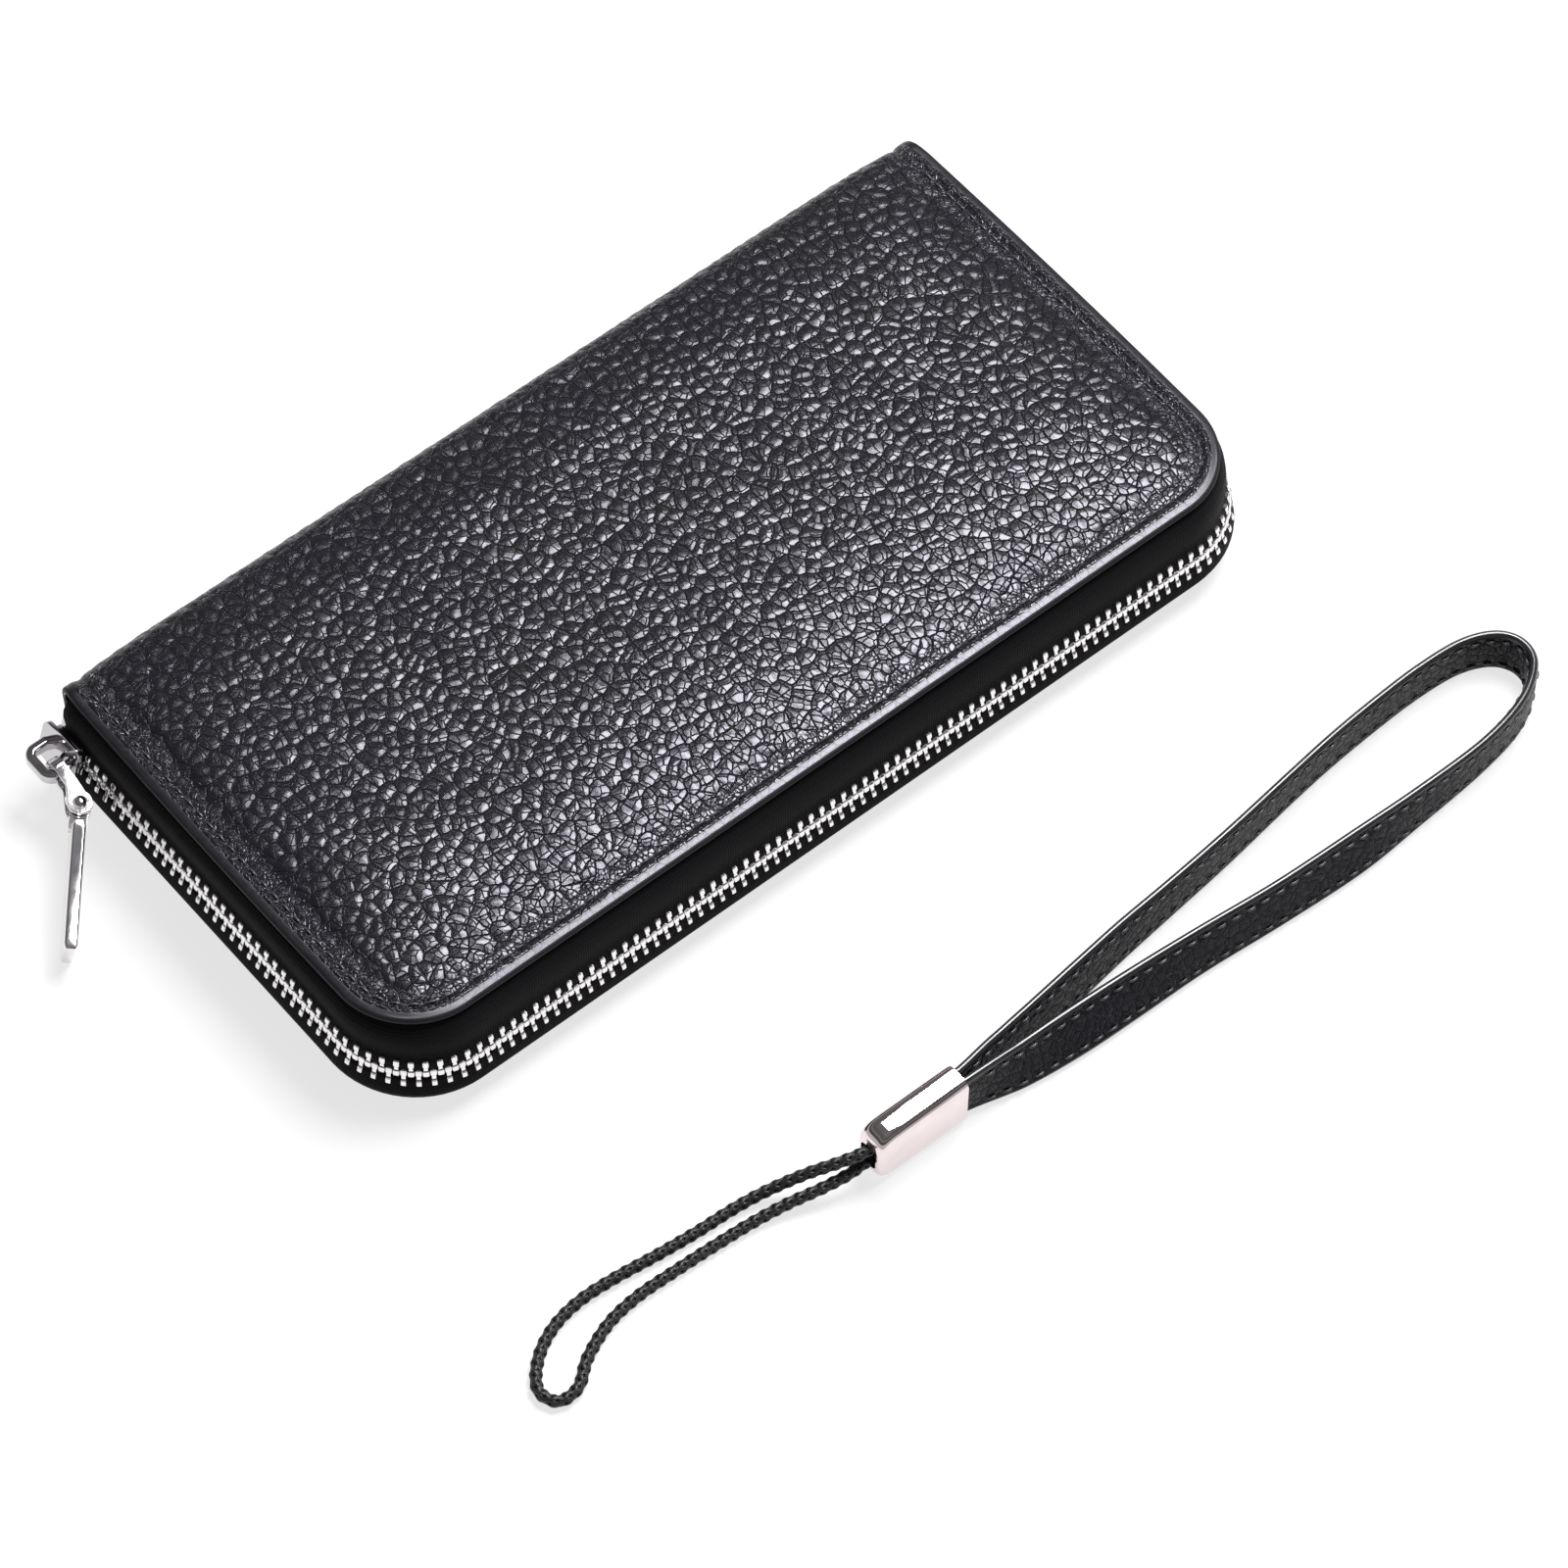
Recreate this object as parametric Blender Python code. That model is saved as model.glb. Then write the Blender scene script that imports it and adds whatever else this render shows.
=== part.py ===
"""A zip-around long wallet that lies flat and closed, with its loose wrist strap beside it.

Millimetres in the constants, metres in the meshes. X runs along the long side, Y from the zip's
front run to the spine, Z up. The origin is the middle of the underside.
"""

import math

import bmesh
import bpy
from mathutils import Matrix, Vector

MM = 0.001
GAP = 0.3

# Covers: the leather runs under, round the spine and over
HALF_LENGTH = 95.0
FRONT_Y = -46.5
FOLD_Y = 44.0
SPINE_Y = 48.5
SPINE_HALF_LENGTH = 94.0
HEIGHT = 24.4
LEATHER = 1.4
CORNER_RADIUS = 15.0
BACK_RADIUS = 1.5
BACK_STEPS = 2
CORNER_STEPS = 8
SPINE_RADIUS = 4.0
SPINE_STEPS = 6

# Layers inside each cover: distance from the outside, and thickness
BOARD_DEPTH = 1.7
BOARD_THICKNESS = 0.8
LINING_DEPTH = 2.8
LINING_THICKNESS = 0.4
BOARD_INSET = 5.0
LINING_INSET = 5.5
INNER_BACK_Y = 41.0

# Card pockets, stacked and stepped back from the mouth
POCKETS = 4
POCKET_DEPTH = 3.5
POCKET_PITCH = 0.9
POCKET_THICKNESS = 0.6
POCKET_HALF_LENGTH = 87.0
POCKET_MOUTH_Y = -38.0
POCKET_STEP = 11.0
POCKET_BACK_Y = 39.0

# Leaves of the accordion
LEAF_HALF_LENGTH = 88.0
LEAF_FRONT_Y = -39.5
LEAF_BACK_Y = 40.0
LEAF_THICKNESS = 0.6
LOWER_DIVIDER_Z = 7.9
UPPER_DIVIDER_Z = 16.0
COIN_LOWER_Z = 9.8
COIN_UPPER_Z = 13.9
COIN_FRONT_Y = -37.0
COIN_HALF_LENGTH = 84.0
LEAF_RADIUS = 3.0

# Gussets: pleated side walls near the spine
GUSSET_OUT_X = 92.2
GUSSET_IN_X = 90.2
GUSSET_FRONT_Y = 4.0
GUSSET_BACK_Y = 42.0
GUSSET_BOTTOM_Z = 3.7
GUSSET_TOP_Z = 20.7
GUSSET_FOLDS = 8
GUSSET_THICKNESS = 0.4

# Main zip: its path is the cover's outline pushed outwards
CHAIN_PROUD = 1.6
CHAIN_Z = 12.0
CHAIN_HALF_WIDTH = 2.9
CHAIN_HALF_THICKNESS = 1.1
BEAD_WIDTH = 0.8
TOOTH_PITCH = 2.4
TOOTH_WIDTH = 1.1
TOOTH_TIP_GAP = 0.4
TEETH_END_Y = 41.0
TAPE_END_Y = 45.2
TAPE_THICKNESS = 0.6
TAPE_STRAIGHT = 5.6
TAPE_LEAN = 3.0
TAPE_TOP = 10.3
STOP_LENGTH = 1.7
STOP_HEIGHT = 1.5
BOTTOM_STOP_LENGTH = 3.0

# Slider
SLIDER_Y = 43.0
SLIDER_LENGTH = 10.0
SLIDER_HALF_WIDTH = 4.9
PLATE_THICKNESS = 1.0
CHANNEL_OUT = 2.1
CHANNEL_IN = 1.3
FLANGE_WIDTH = 1.0
FLANGE_OUT_DEPTH = 1.3
FLANGE_IN_DEPTH = 0.6
POST_LENGTH = 2.2
POST_HALF_HEIGHT = 1.1
POST_BACK = 0.8

# Bridge over the slider, and what hangs on it
BRIDGE_HALF_THICKNESS = 1.2
BRIDGE_LEG = 1.8
BRIDGE_FRONT_Y = 40.0
BRIDGE_BACK_Y = 46.4
BRIDGE_REACH = 4.8
BRIDGE_OUTER_RADIUS = 2.4
BRIDGE_INNER_RADIUS = 0.7
BRIDGE_STEPS = 6
LINK_X = -101.3
LINK_SLOPE = 16.5
LINK_CLEARANCE = 1.6
CHEEK_THICKNESS = 0.9
FOLD_HALF_WIDTH = 1.1
FOLD_LAP = 0.1
RIVET_REACH = 6.8
RIVET_OUTWARD = 1.0
CHEEK_NECK = 1.9
CHEEK_RADIUS = 2.2
CHEEK_STEPS = 10
CHEEK_ARC_START = 160.0
CHEEK_ARC_END = 380.0
RIVET_RADIUS = 0.75
RIVET_HOLE = 0.95
RIVET_HEAD_RADIUS = 1.2
RIVET_HEAD_THICKNESS = 0.5
RIVET_LAP = 0.1
BAR_OUTWARD = 40.0
TONGUE_HALF_THICKNESS = 1.2
TONGUE_HALF_WIDTH = 1.6
TONGUE_STEPS = 6
TONGUE_LAP = 1.0
BAR_START = 3.7
BAR_END = 27.0
BAR_HALF_THICKNESS = 1.2
BAR_HALF_HEIGHT = 4.0
BAR_CHAMFER = 0.4
ROUND_SIDES = 16

# Coin pocket's own small zip
COIN_ZIP_HALF_LENGTH = 82.0
COIN_TAPE_Y = -37.6
COIN_TAPE_THICKNESS = 0.3
COIN_CHAIN_FRONT_Y = -39.2
COIN_CHAIN_BACK_Y = -37.9
COIN_CHAIN_HALF_WIDTH = 1.2
COIN_Z = 12.15
COIN_SLIDER_X = -76.0
COIN_SLIDER_LENGTH = 6.0
COIN_SLIDER_HALF_WIDTH = 2.2
COIN_SLIDER_WALL = 0.6
COIN_PULL_LENGTH = 10.0
COIN_PULL_HALF_WIDTH = 1.6
COIN_PULL_THICKNESS = 0.8

# Wrist strap: the middle of its width, its lean from upright and where it lies
STRAP_WIDTH = 10.5
STRAP_THICKNESS = 1.7
STRAP_REST_Z = 0.2
STRAP_STEP = 4.0
CURVE_STEPS = 20
STRAP_ROUTE = [
    (-36.0, -104.0, 0.0),
    (-28.0, -104.0, 0.0),
    (-20.0, -104.1, 0.0),
    (-8.0, -105.4, 17.0),
    (4.0, -106.1, 25.0),
    (16.0, -106.6, 23.0),
    (30.0, -107.3, 17.0),
    (47.0, -108.7, 15.0),
    (64.0, -109.4, 16.0),
    (78.0, -109.2, 7.0),
    (94.0, -108.4, 0.0),
    (105.0, -106.2, 0.0),
    (111.8, -102.0, 0.0),
    (113.4, -97.4, 0.0),
    (111.0, -93.2, 0.0),
    (105.0, -90.6, 0.0),
    (96.0, -89.9, 0.0),
    (86.0, -90.2, 0.0),
    (75.0, -91.0, 0.0),
    (64.0, -92.3, 0.0),
    (47.0, -94.6, 2.0),
    (32.0, -96.2, 4.0),
    (21.0, -97.3, 7.0),
    (10.0, -98.7, 9.0),
    (-1.0, -100.0, 9.0),
    (-11.0, -101.1, 8.0),
    (-20.0, -101.9, 0.0),
    (-28.0, -101.9, 0.0),
    (-36.0, -101.9, 0.0),
]
FERRULE_LIFT = 0.95
LIFT_RUN = 12.0

# Ferrule: a flat metal sleeve over both strap ends and both cord ends
FERRULE_LEFT_X = -40.0
FERRULE_RIGHT_X = -20.5
FERRULE_Y = -102.95
FERRULE_HALF_THICKNESS = 2.9
FERRULE_HEIGHT = 12.4
FERRULE_WALL = 0.6
FERRULE_RADIUS = 1.4
FERRULE_FACETS = 3
FERRULE_LIP = 1.2
CORD_HOLE_HEIGHT = 6.6
CORD_HOLE_HALF_THICKNESS = 1.9

# Cord loop out of the ferrule's left end
CORD_DIAMETER = 2.6
CORD_ROUTE = [
    (-37.5, -102.95, 8.1),
    (-41.0, -102.8, 8.1),
    (-45.0, -101.4, 7.4),
    (-50.0, -98.6, 5.2),
    (-56.0, -95.9, 2.6),
    (-62.0, -94.6, 1.5),
    (-70.0, -94.1, 1.4),
    (-78.0, -93.3, 1.4),
    (-86.0, -92.3, 1.4),
    (-93.0, -92.0, 1.4),
    (-99.5, -93.2, 1.4),
    (-105.0, -96.2, 1.4),
    (-108.6, -100.6, 1.4),
    (-107.4, -104.4, 1.4),
    (-103.2, -104.5, 1.4),
    (-98.6, -101.2, 1.4),
    (-92.0, -98.4, 1.4),
    (-85.0, -97.4, 1.4),
    (-77.0, -97.6, 1.4),
    (-69.0, -98.0, 1.4),
    (-61.5, -98.6, 1.5),
    (-55.0, -99.9, 2.4),
    (-49.0, -101.8, 3.7),
    (-44.5, -102.8, 4.4),
    (-41.0, -102.95, 4.7),
    (-37.5, -102.95, 4.7),
]
CORD_POINTS = 56


def clear_scene():
    for item in list(bpy.data.objects):
        bpy.data.objects.remove(item, do_unlink=True)


def finish(name, colour, roughness, metallic=0.0):
    """A plain surface of one colour."""
    material = bpy.data.materials.new(name)
    material.use_nodes = True
    shader = material.node_tree.nodes["Principled BSDF"]
    shader.inputs["Base Color"].default_value = (*colour, 1.0)
    shader.inputs["Roughness"].default_value = roughness
    shader.inputs["Metallic"].default_value = metallic
    return material


def leather_finish(name):
    return finish(name, (0.022, 0.021, 0.025), 0.42)


def lining_finish(name):
    return finish(name, (0.030, 0.028, 0.032), 0.85)


def tape_finish(name):
    return finish(name, (0.014, 0.013, 0.016), 0.9)


def board_finish(name):
    return finish(name, (0.36, 0.33, 0.28), 0.9)


def chrome_finish(name):
    return finish(name, (0.82, 0.80, 0.80), 0.12, 1.0)


def cord_finish(name):
    return finish(name, (0.012, 0.012, 0.013), 0.5)


def pivot(name, place):
    """An empty on a joint's axis, which the joint's pieces hang from."""
    empty = bpy.data.objects.new(name, None)
    empty.location = Vector(place) * MM
    empty.empty_display_size = 0.01
    bpy.context.collection.objects.link(empty)
    return empty


def piece(name, bm, material, parent=None):
    """Turn a bmesh in millimetres into a named object in metres."""
    bmesh.ops.recalc_face_normals(bm, faces=bm.faces)
    bmesh.ops.scale(bm, vec=(MM, MM, MM), verts=bm.verts)
    mesh = bpy.data.meshes.new(name)
    bm.to_mesh(mesh)
    bm.free()
    thing = bpy.data.objects.new(name, mesh)
    bpy.context.collection.objects.link(thing)
    mesh.materials.append(material)
    if parent:
        thing.parent = parent
        thing.matrix_parent_inverse = Matrix.Translation(-parent.location)
    return thing


def prism(outline, low, high):
    """A flat outline in XY drawn up from low to high."""
    bm = bmesh.new()
    bottom = [bm.verts.new((x, y, low)) for x, y in outline]
    top = [bm.verts.new((x, y, high)) for x, y in outline]
    bm.faces.new(bottom[::-1])
    bm.faces.new(top)
    wrap_sides(bm, bottom, top)
    return bm


def wrap_sides(bm, first, second):
    """Quads between two closed loops of the same length."""
    count = len(first)
    for i in range(count):
        j = (i + 1) % count
        bm.faces.new((first[i], first[j], second[j], second[i]))


def sweep(loops):
    """A solid through closed loops of points, capped at both ends."""
    bm = bmesh.new()
    rings = [[bm.verts.new(point) for point in loop] for loop in loops]
    for first, second in zip(rings, rings[1:]):
        wrap_sides(bm, first, second)
    bm.faces.new(rings[0][::-1])
    bm.faces.new(rings[-1])
    return bm


def tube_wall(loops):
    """A hollow solid through closed loops, given as outer and inner pairs at its two ends."""
    bm = bmesh.new()
    outer = [[bm.verts.new(point) for point in pair[0]] for pair in loops]
    inner = [[bm.verts.new(point) for point in pair[1]] for pair in loops]
    for first, second in zip(outer, outer[1:]):
        wrap_sides(bm, first, second)
    for first, second in zip(inner, inner[1:]):
        wrap_sides(bm, second, first)
    wrap_sides(bm, inner[0], outer[0])
    wrap_sides(bm, outer[-1], inner[-1])
    return bm


def box(low, high):
    (x0, y0, z0), (x1, y1, z1) = low, high
    return prism([(x0, y0), (x1, y0), (x1, y1), (x0, y1)], z0, z1)


def arc(centre, radius, start, end, steps):
    """Points on an arc in degrees, both ends included."""
    points = []
    for i in range(steps + 1):
        angle = math.radians(start + (end - start) * i / steps)
        points.append((centre[0] + radius * math.cos(angle), centre[1] + radius * math.sin(angle)))
    return points


def rounded_panel(half_length, front, back, front_radius, back_radius):
    """A panel's outline, anticlockwise, with its own radius at the front and the back."""
    corners = [
        (-half_length, front, 1, 1, front_radius, 180, CORNER_STEPS),
        (half_length, front, -1, 1, front_radius, 270, CORNER_STEPS),
        (half_length, back, -1, -1, back_radius, 0, BACK_STEPS),
        (-half_length, back, 1, -1, back_radius, 90, BACK_STEPS),
    ]
    outline = []
    for x, y, inward_x, inward_y, radius, start, steps in corners:
        centre = (x + inward_x * radius, y + inward_y * radius)
        outline += arc(centre, radius, start, start + 90, steps)
    return outline


def joined(name, parts, material, parent=None, cuts=()):
    """One solid from several, less any cuts."""
    main = piece(name, parts[0], material, parent)
    helpers = []
    for kind, group in (("UNION", parts[1:]), ("DIFFERENCE", cuts)):
        for number, bm in enumerate(group):
            helper = piece(f"{name}_{kind.lower()}_{number}", bm, material)
            helpers.append(helper)
            step = main.modifiers.new(helper.name, "BOOLEAN")
            step.operation = kind
            step.solver = "EXACT"
            step.object = helper
    view = bpy.context.evaluated_depsgraph_get()
    mesh = bpy.data.meshes.new_from_object(main.evaluated_get(view))
    main.modifiers.clear()
    main.data = mesh
    for helper in helpers:
        bpy.data.objects.remove(helper, do_unlink=True)
    return main


# Covers


def both_heights(depth, thickness):
    """Where a layer lies in the bottom cover and in the top cover."""
    bottom = (depth, depth + thickness)
    top = (HEIGHT - depth - thickness, HEIGHT - depth)
    return {"bottom": bottom, "top": top}


def cover_layers(side, parent):
    leather = rounded_panel(HALF_LENGTH, FRONT_Y, FOLD_Y, CORNER_RADIUS, BACK_RADIUS)
    piece(
        f"{side}_leather",
        prism(leather, *both_heights(0.0, LEATHER)[side]),
        leather_finish(f"{side} leather"),
        parent,
    )
    board = rounded_panel(
        HALF_LENGTH - BOARD_INSET,
        FRONT_Y + BOARD_INSET,
        INNER_BACK_Y,
        CORNER_RADIUS - BOARD_INSET,
        BACK_RADIUS,
    )
    piece(
        f"{side}_board",
        prism(board, *both_heights(BOARD_DEPTH, BOARD_THICKNESS)[side]),
        board_finish(f"{side} board"),
        parent,
    )
    lining = rounded_panel(
        HALF_LENGTH - LINING_INSET,
        FRONT_Y + LINING_INSET,
        INNER_BACK_Y,
        CORNER_RADIUS - LINING_INSET,
        BACK_RADIUS,
    )
    piece(
        f"{side}_lining",
        prism(lining, *both_heights(LINING_DEPTH, LINING_THICKNESS)[side]),
        lining_finish(f"{side} lining"),
        parent,
    )


def card_pockets(side, parent):
    """Four pocket fronts, each set further from the cover and further back than the last."""
    for number in range(POCKETS):
        depth = POCKET_DEPTH + number * POCKET_PITCH
        mouth = POCKET_MOUTH_Y + number * POCKET_STEP
        outline = rounded_panel(POCKET_HALF_LENGTH, mouth, POCKET_BACK_Y, BACK_RADIUS, BACK_RADIUS)
        heights = both_heights(depth, POCKET_THICKNESS)[side]
        name = f"{side}_card_pocket_{number + 1}"
        piece(name, prism(outline, *heights), leather_finish(name.replace("_", " ")), parent)


def spine_profile(inset):
    """Half rounds at the top and bottom of the spine, in YZ, from the bottom fold to the top."""
    radius = SPINE_RADIUS - inset
    centre_y = SPINE_Y - SPINE_RADIUS
    lower = arc((centre_y, SPINE_RADIUS), radius, -90, 0, SPINE_STEPS)
    upper = arc((centre_y, HEIGHT - SPINE_RADIUS), radius, 0, 90, SPINE_STEPS)
    return lower + upper


def spine_layer(name, outside, thickness, half_length, material):
    profile = spine_profile(outside) + spine_profile(outside + thickness)[::-1]
    loops = [[(x, y, z) for y, z in profile] for x in (-half_length, half_length)]
    piece(name, sweep(loops), material)


# Accordion


def leaf(name, low, half_length, front, material, parent):
    outline = rounded_panel(half_length, front, LEAF_BACK_Y, LEAF_RADIUS, BACK_RADIUS)
    piece(name, prism(outline, low, low + LEAF_THICKNESS), material, parent)


def gusset(name, side):
    """A pleated strip, its folds stacked in Z and running along Y."""
    rise = (GUSSET_TOP_Z - GUSSET_BOTTOM_Z) / GUSSET_FOLDS
    spread = GUSSET_OUT_X - GUSSET_IN_X
    folds = []
    for i in range(GUSSET_FOLDS + 1):
        folds.append((GUSSET_IN_X + spread * (i % 2), GUSSET_BOTTOM_Z + rise * i))
    outer = [(x + GUSSET_THICKNESS / 2, z) for x, z in folds]
    inner = [(x - GUSSET_THICKNESS / 2, z) for x, z in folds]
    profile = outer + inner[::-1]
    loops = [[(side * x, y, z) for x, z in profile] for y in (GUSSET_FRONT_Y, GUSSET_BACK_Y)]
    piece(name, sweep(loops), lining_finish(name.replace("_", " ")))


# Main zip


def zip_place(along, outward, end_y):
    """The point at a distance along the zip's path from its left end, pushed outwards."""
    half = HALF_LENGTH + CHAIN_PROUD
    front = FRONT_Y - CHAIN_PROUD
    radius = CORNER_RADIUS + CHAIN_PROUD
    side_run = end_y - (front + radius)
    bend = radius * math.pi / 2
    front_run = 2 * (half - radius)
    reach = radius + outward
    if along <= side_run:
        return (-half - outward, end_y - along)
    along -= side_run
    if along <= bend:
        angle = math.pi + along / radius
        centre = (-half + radius, front + radius)
        return (centre[0] + reach * math.cos(angle), centre[1] + reach * math.sin(angle))
    along -= bend
    if along <= front_run:
        return (-half + radius + along, front - outward)
    along -= front_run
    if along <= bend:
        angle = 1.5 * math.pi + along / radius
        centre = (half - radius, front + radius)
        return (centre[0] + reach * math.cos(angle), centre[1] + reach * math.sin(angle))
    along -= bend
    return (half + outward, front + radius + along)


def zip_length(end_y):
    radius = CORNER_RADIUS + CHAIN_PROUD
    side_run = end_y - (FRONT_Y - CHAIN_PROUD + radius)
    front_run = 2 * (HALF_LENGTH + CHAIN_PROUD - radius)
    return 2 * side_run + front_run + math.pi * radius


def tape_stations():
    """Distances along the tape: its ends, and steps round each corner."""
    radius = CORNER_RADIUS + CHAIN_PROUD
    side_run = TAPE_END_Y - (FRONT_Y - CHAIN_PROUD + radius)
    bend = radius * math.pi / 2
    second = zip_length(TAPE_END_Y) - side_run - bend
    stations = [0.0]
    for start in (side_run, second):
        stations += [start + bend * i / CORNER_STEPS for i in range(CORNER_STEPS + 1)]
    return stations + [zip_length(TAPE_END_Y)]


def zip_tape(name, direction, parent):
    """A ribbon: upright beside the chain, then leaning in under the cover's edge."""
    half = TAPE_THICKNESS / 2
    start = CHAIN_HALF_WIDTH + GAP
    outer = [(half, start), (half, TAPE_STRAIGHT), (half - TAPE_LEAN, TAPE_TOP)]
    inner = [(-half, start), (-half, TAPE_STRAIGHT), (-half - TAPE_LEAN, TAPE_TOP)]
    section = outer + inner[::-1]
    loops = []
    for along in tape_stations():
        loop = []
        for outward, rise in section:
            x, y = zip_place(along, outward, TAPE_END_Y)
            loop.append((x, y, CHAIN_Z + direction * rise))
        loops.append(loop)
    return piece(name, sweep(loops), tape_finish(name.replace("_", " ")), parent)


def zip_teeth(name, direction, parent):
    """One row: a bead with square teeth on it, half a pitch out of step with the other row."""
    shift = 0.0 if direction > 0 else TOOTH_PITCH / 2
    total = zip_length(TEETH_END_Y)
    count = int((total - shift - TOOTH_WIDTH) / TOOTH_PITCH)
    levels = {
        "edge": CHAIN_Z + direction * CHAIN_HALF_WIDTH,
        "root": CHAIN_Z + direction * (CHAIN_HALF_WIDTH - BEAD_WIDTH),
        "tip": CHAIN_Z - direction * (CHAIN_HALF_WIDTH - BEAD_WIDTH - TOOTH_TIP_GAP),
    }
    bm = bmesh.new()

    def pair(along, level):
        """The outer and inner points of one station at one level."""
        found = []
        for outward in (CHAIN_HALF_THICKNESS, -CHAIN_HALF_THICKNESS):
            x, y = zip_place(along, outward, TEETH_END_Y)
            found.append(bm.verts.new((x, y, levels[level])))
        return found

    def bridge(first, second):
        bm.faces.new((first[0], second[0], second[1], first[1]))

    stations = []
    for i in range(count + 1):
        start = shift + i * TOOTH_PITCH
        for along in (start, start + TOOTH_WIDTH):
            stations.append({level: pair(along, level) for level in levels})
    for i, (first, second) in enumerate(zip(stations, stations[1:])):
        for side in (0, 1):
            bm.faces.new(
                (first["edge"][side], second["edge"][side], second["root"][side], first["root"][side])
            )
        bridge(first["edge"], second["edge"])
        if i % 2:
            bridge(first["root"], second["root"])
            continue
        for side in (0, 1):
            bm.faces.new(
                (first["root"][side], second["root"][side], second["tip"][side], first["tip"][side])
            )
        bridge(first["tip"], second["tip"])
        bridge(first["root"], first["tip"])
        bridge(second["root"], second["tip"])
    bridge(stations[0]["edge"], stations[0]["root"])
    bridge(stations[-1]["edge"], stations[-1]["root"])
    return piece(name, bm, chrome_finish(name.replace("_", " ")), parent)


def zip_stops():
    """A stop on each row where the slider parks, and one across both rows at the other end."""
    centre = HALF_LENGTH + CHAIN_PROUD
    start = TEETH_END_Y + GAP
    for name, low in (
        ("upper_end_stop", CHAIN_Z + CHAIN_HALF_WIDTH - STOP_HEIGHT),
        ("lower_end_stop", CHAIN_Z - CHAIN_HALF_WIDTH),
    ):
        body = box(
            (-centre - CHAIN_HALF_THICKNESS, start, low),
            (-centre + CHAIN_HALF_THICKNESS, start + STOP_LENGTH, low + STOP_HEIGHT),
        )
        piece(name, body, chrome_finish(name.replace("_", " ")))
    body = box(
        (centre - CHAIN_HALF_THICKNESS, start, CHAIN_Z - CHAIN_HALF_WIDTH),
        (centre + CHAIN_HALF_THICKNESS, start + BOTTOM_STOP_LENGTH, CHAIN_Z + CHAIN_HALF_WIDTH),
    )
    piece("bottom_stop", body, chrome_finish("bottom stop"))


# Slider and pull


def bridge_ring(centre_x):
    """A D-shaped ring whose flat side sinks into the slider's outer plate."""
    foot = centre_x - CHANNEL_OUT - PLATE_THICKNESS / 2
    tip = centre_x - CHANNEL_OUT - PLATE_THICKNESS - BRIDGE_REACH
    middle = (BRIDGE_FRONT_Y + BRIDGE_BACK_Y) / 2
    outer_half = (BRIDGE_BACK_Y - BRIDGE_FRONT_Y + BRIDGE_LEG) / 2
    inner_half = outer_half - BRIDGE_LEG

    def shape(half, end, start, radius):
        lower = arc((end + radius, middle - half + radius), radius, 270, 180, BRIDGE_STEPS)
        upper = arc((end + radius, middle + half - radius), radius, 180, 90, BRIDGE_STEPS)
        return [(start, middle - half)] + lower + upper + [(start, middle + half)]

    wall = centre_x - CHANNEL_OUT - PLATE_THICKNESS
    outer = shape(outer_half, tip, foot, BRIDGE_OUTER_RADIUS)
    inner = shape(inner_half, tip + BRIDGE_LEG, wall, BRIDGE_INNER_RADIUS)
    levels = (CHAIN_Z - BRIDGE_HALF_THICKNESS, CHAIN_Z + BRIDGE_HALF_THICKNESS)
    loops = []
    for z in levels:
        loops.append(([(x, y, z) for x, y in outer], [(x, y, z) for x, y in inner]))
    return tube_wall(loops)


def slider():
    centre = -(HALF_LENGTH + CHAIN_PROUD)
    front = SLIDER_Y - SLIDER_LENGTH / 2
    back = SLIDER_Y + SLIDER_LENGTH / 2
    low = CHAIN_Z - SLIDER_HALF_WIDTH
    high = CHAIN_Z + SLIDER_HALF_WIDTH
    outer_wall = centre - CHANNEL_OUT
    inner_wall = centre + CHANNEL_IN
    overlap = PLATE_THICKNESS / 2
    parts = [
        box((outer_wall - PLATE_THICKNESS, front, low), (outer_wall, back, high)),
        box((inner_wall, front, low), (inner_wall + PLATE_THICKNESS, back, high)),
        box(
            (outer_wall - overlap, back - POST_BACK - POST_LENGTH, CHAIN_Z - POST_HALF_HEIGHT),
            (inner_wall + overlap, back - POST_BACK, CHAIN_Z + POST_HALF_HEIGHT),
        ),
    ]
    for z in (low, high - FLANGE_WIDTH):
        parts.append(
            box((outer_wall - overlap, front, z), (outer_wall + FLANGE_OUT_DEPTH, back, z + FLANGE_WIDTH))
        )
        parts.append(
            box((inner_wall - FLANGE_IN_DEPTH, front, z), (inner_wall + overlap, back, z + FLANGE_WIDTH))
        )
    parts.append(bridge_ring(centre))
    joined("slider_body", parts, chrome_finish("slider"), pivot("slider_slide", (centre, SLIDER_Y, CHAIN_Z)))


def link_axis():
    return Vector((LINK_X, BRIDGE_FRONT_Y, CHAIN_Z))


def tilt_link():
    """Turns what is drawn flat, pointing towards -Y from the origin, to how the link hangs."""
    return Matrix.Translation(link_axis()) @ Matrix.Rotation(math.radians(LINK_SLOPE), 4, "X")


def rivet_place():
    return Vector((-RIVET_OUTWARD, -RIVET_REACH, 0.0))


def moved(bm, matrix):
    bmesh.ops.transform(bm, matrix=matrix, verts=bm.verts)
    return bm


def rod(centre, radius, low, high):
    outline = arc(centre, radius, 0, 360, ROUND_SIDES)[:-1]
    return prism(outline, low, high)


def cheek_outline():
    """A teardrop: a narrow neck that turns inside the bridge, round about the rivet."""
    x, y, _ = rivet_place()
    back = LINK_CLEARANCE + CHEEK_THICKNESS - FOLD_LAP
    round_end = arc((x, y), CHEEK_RADIUS, CHEEK_ARC_START, CHEEK_ARC_END, CHEEK_STEPS)
    neck = [(FOLD_HALF_WIDTH, back), (-FOLD_HALF_WIDTH, back), (-FOLD_HALF_WIDTH, -CHEEK_NECK)]
    return neck + round_end + [(FOLD_HALF_WIDTH, -CHEEK_NECK)]


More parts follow.
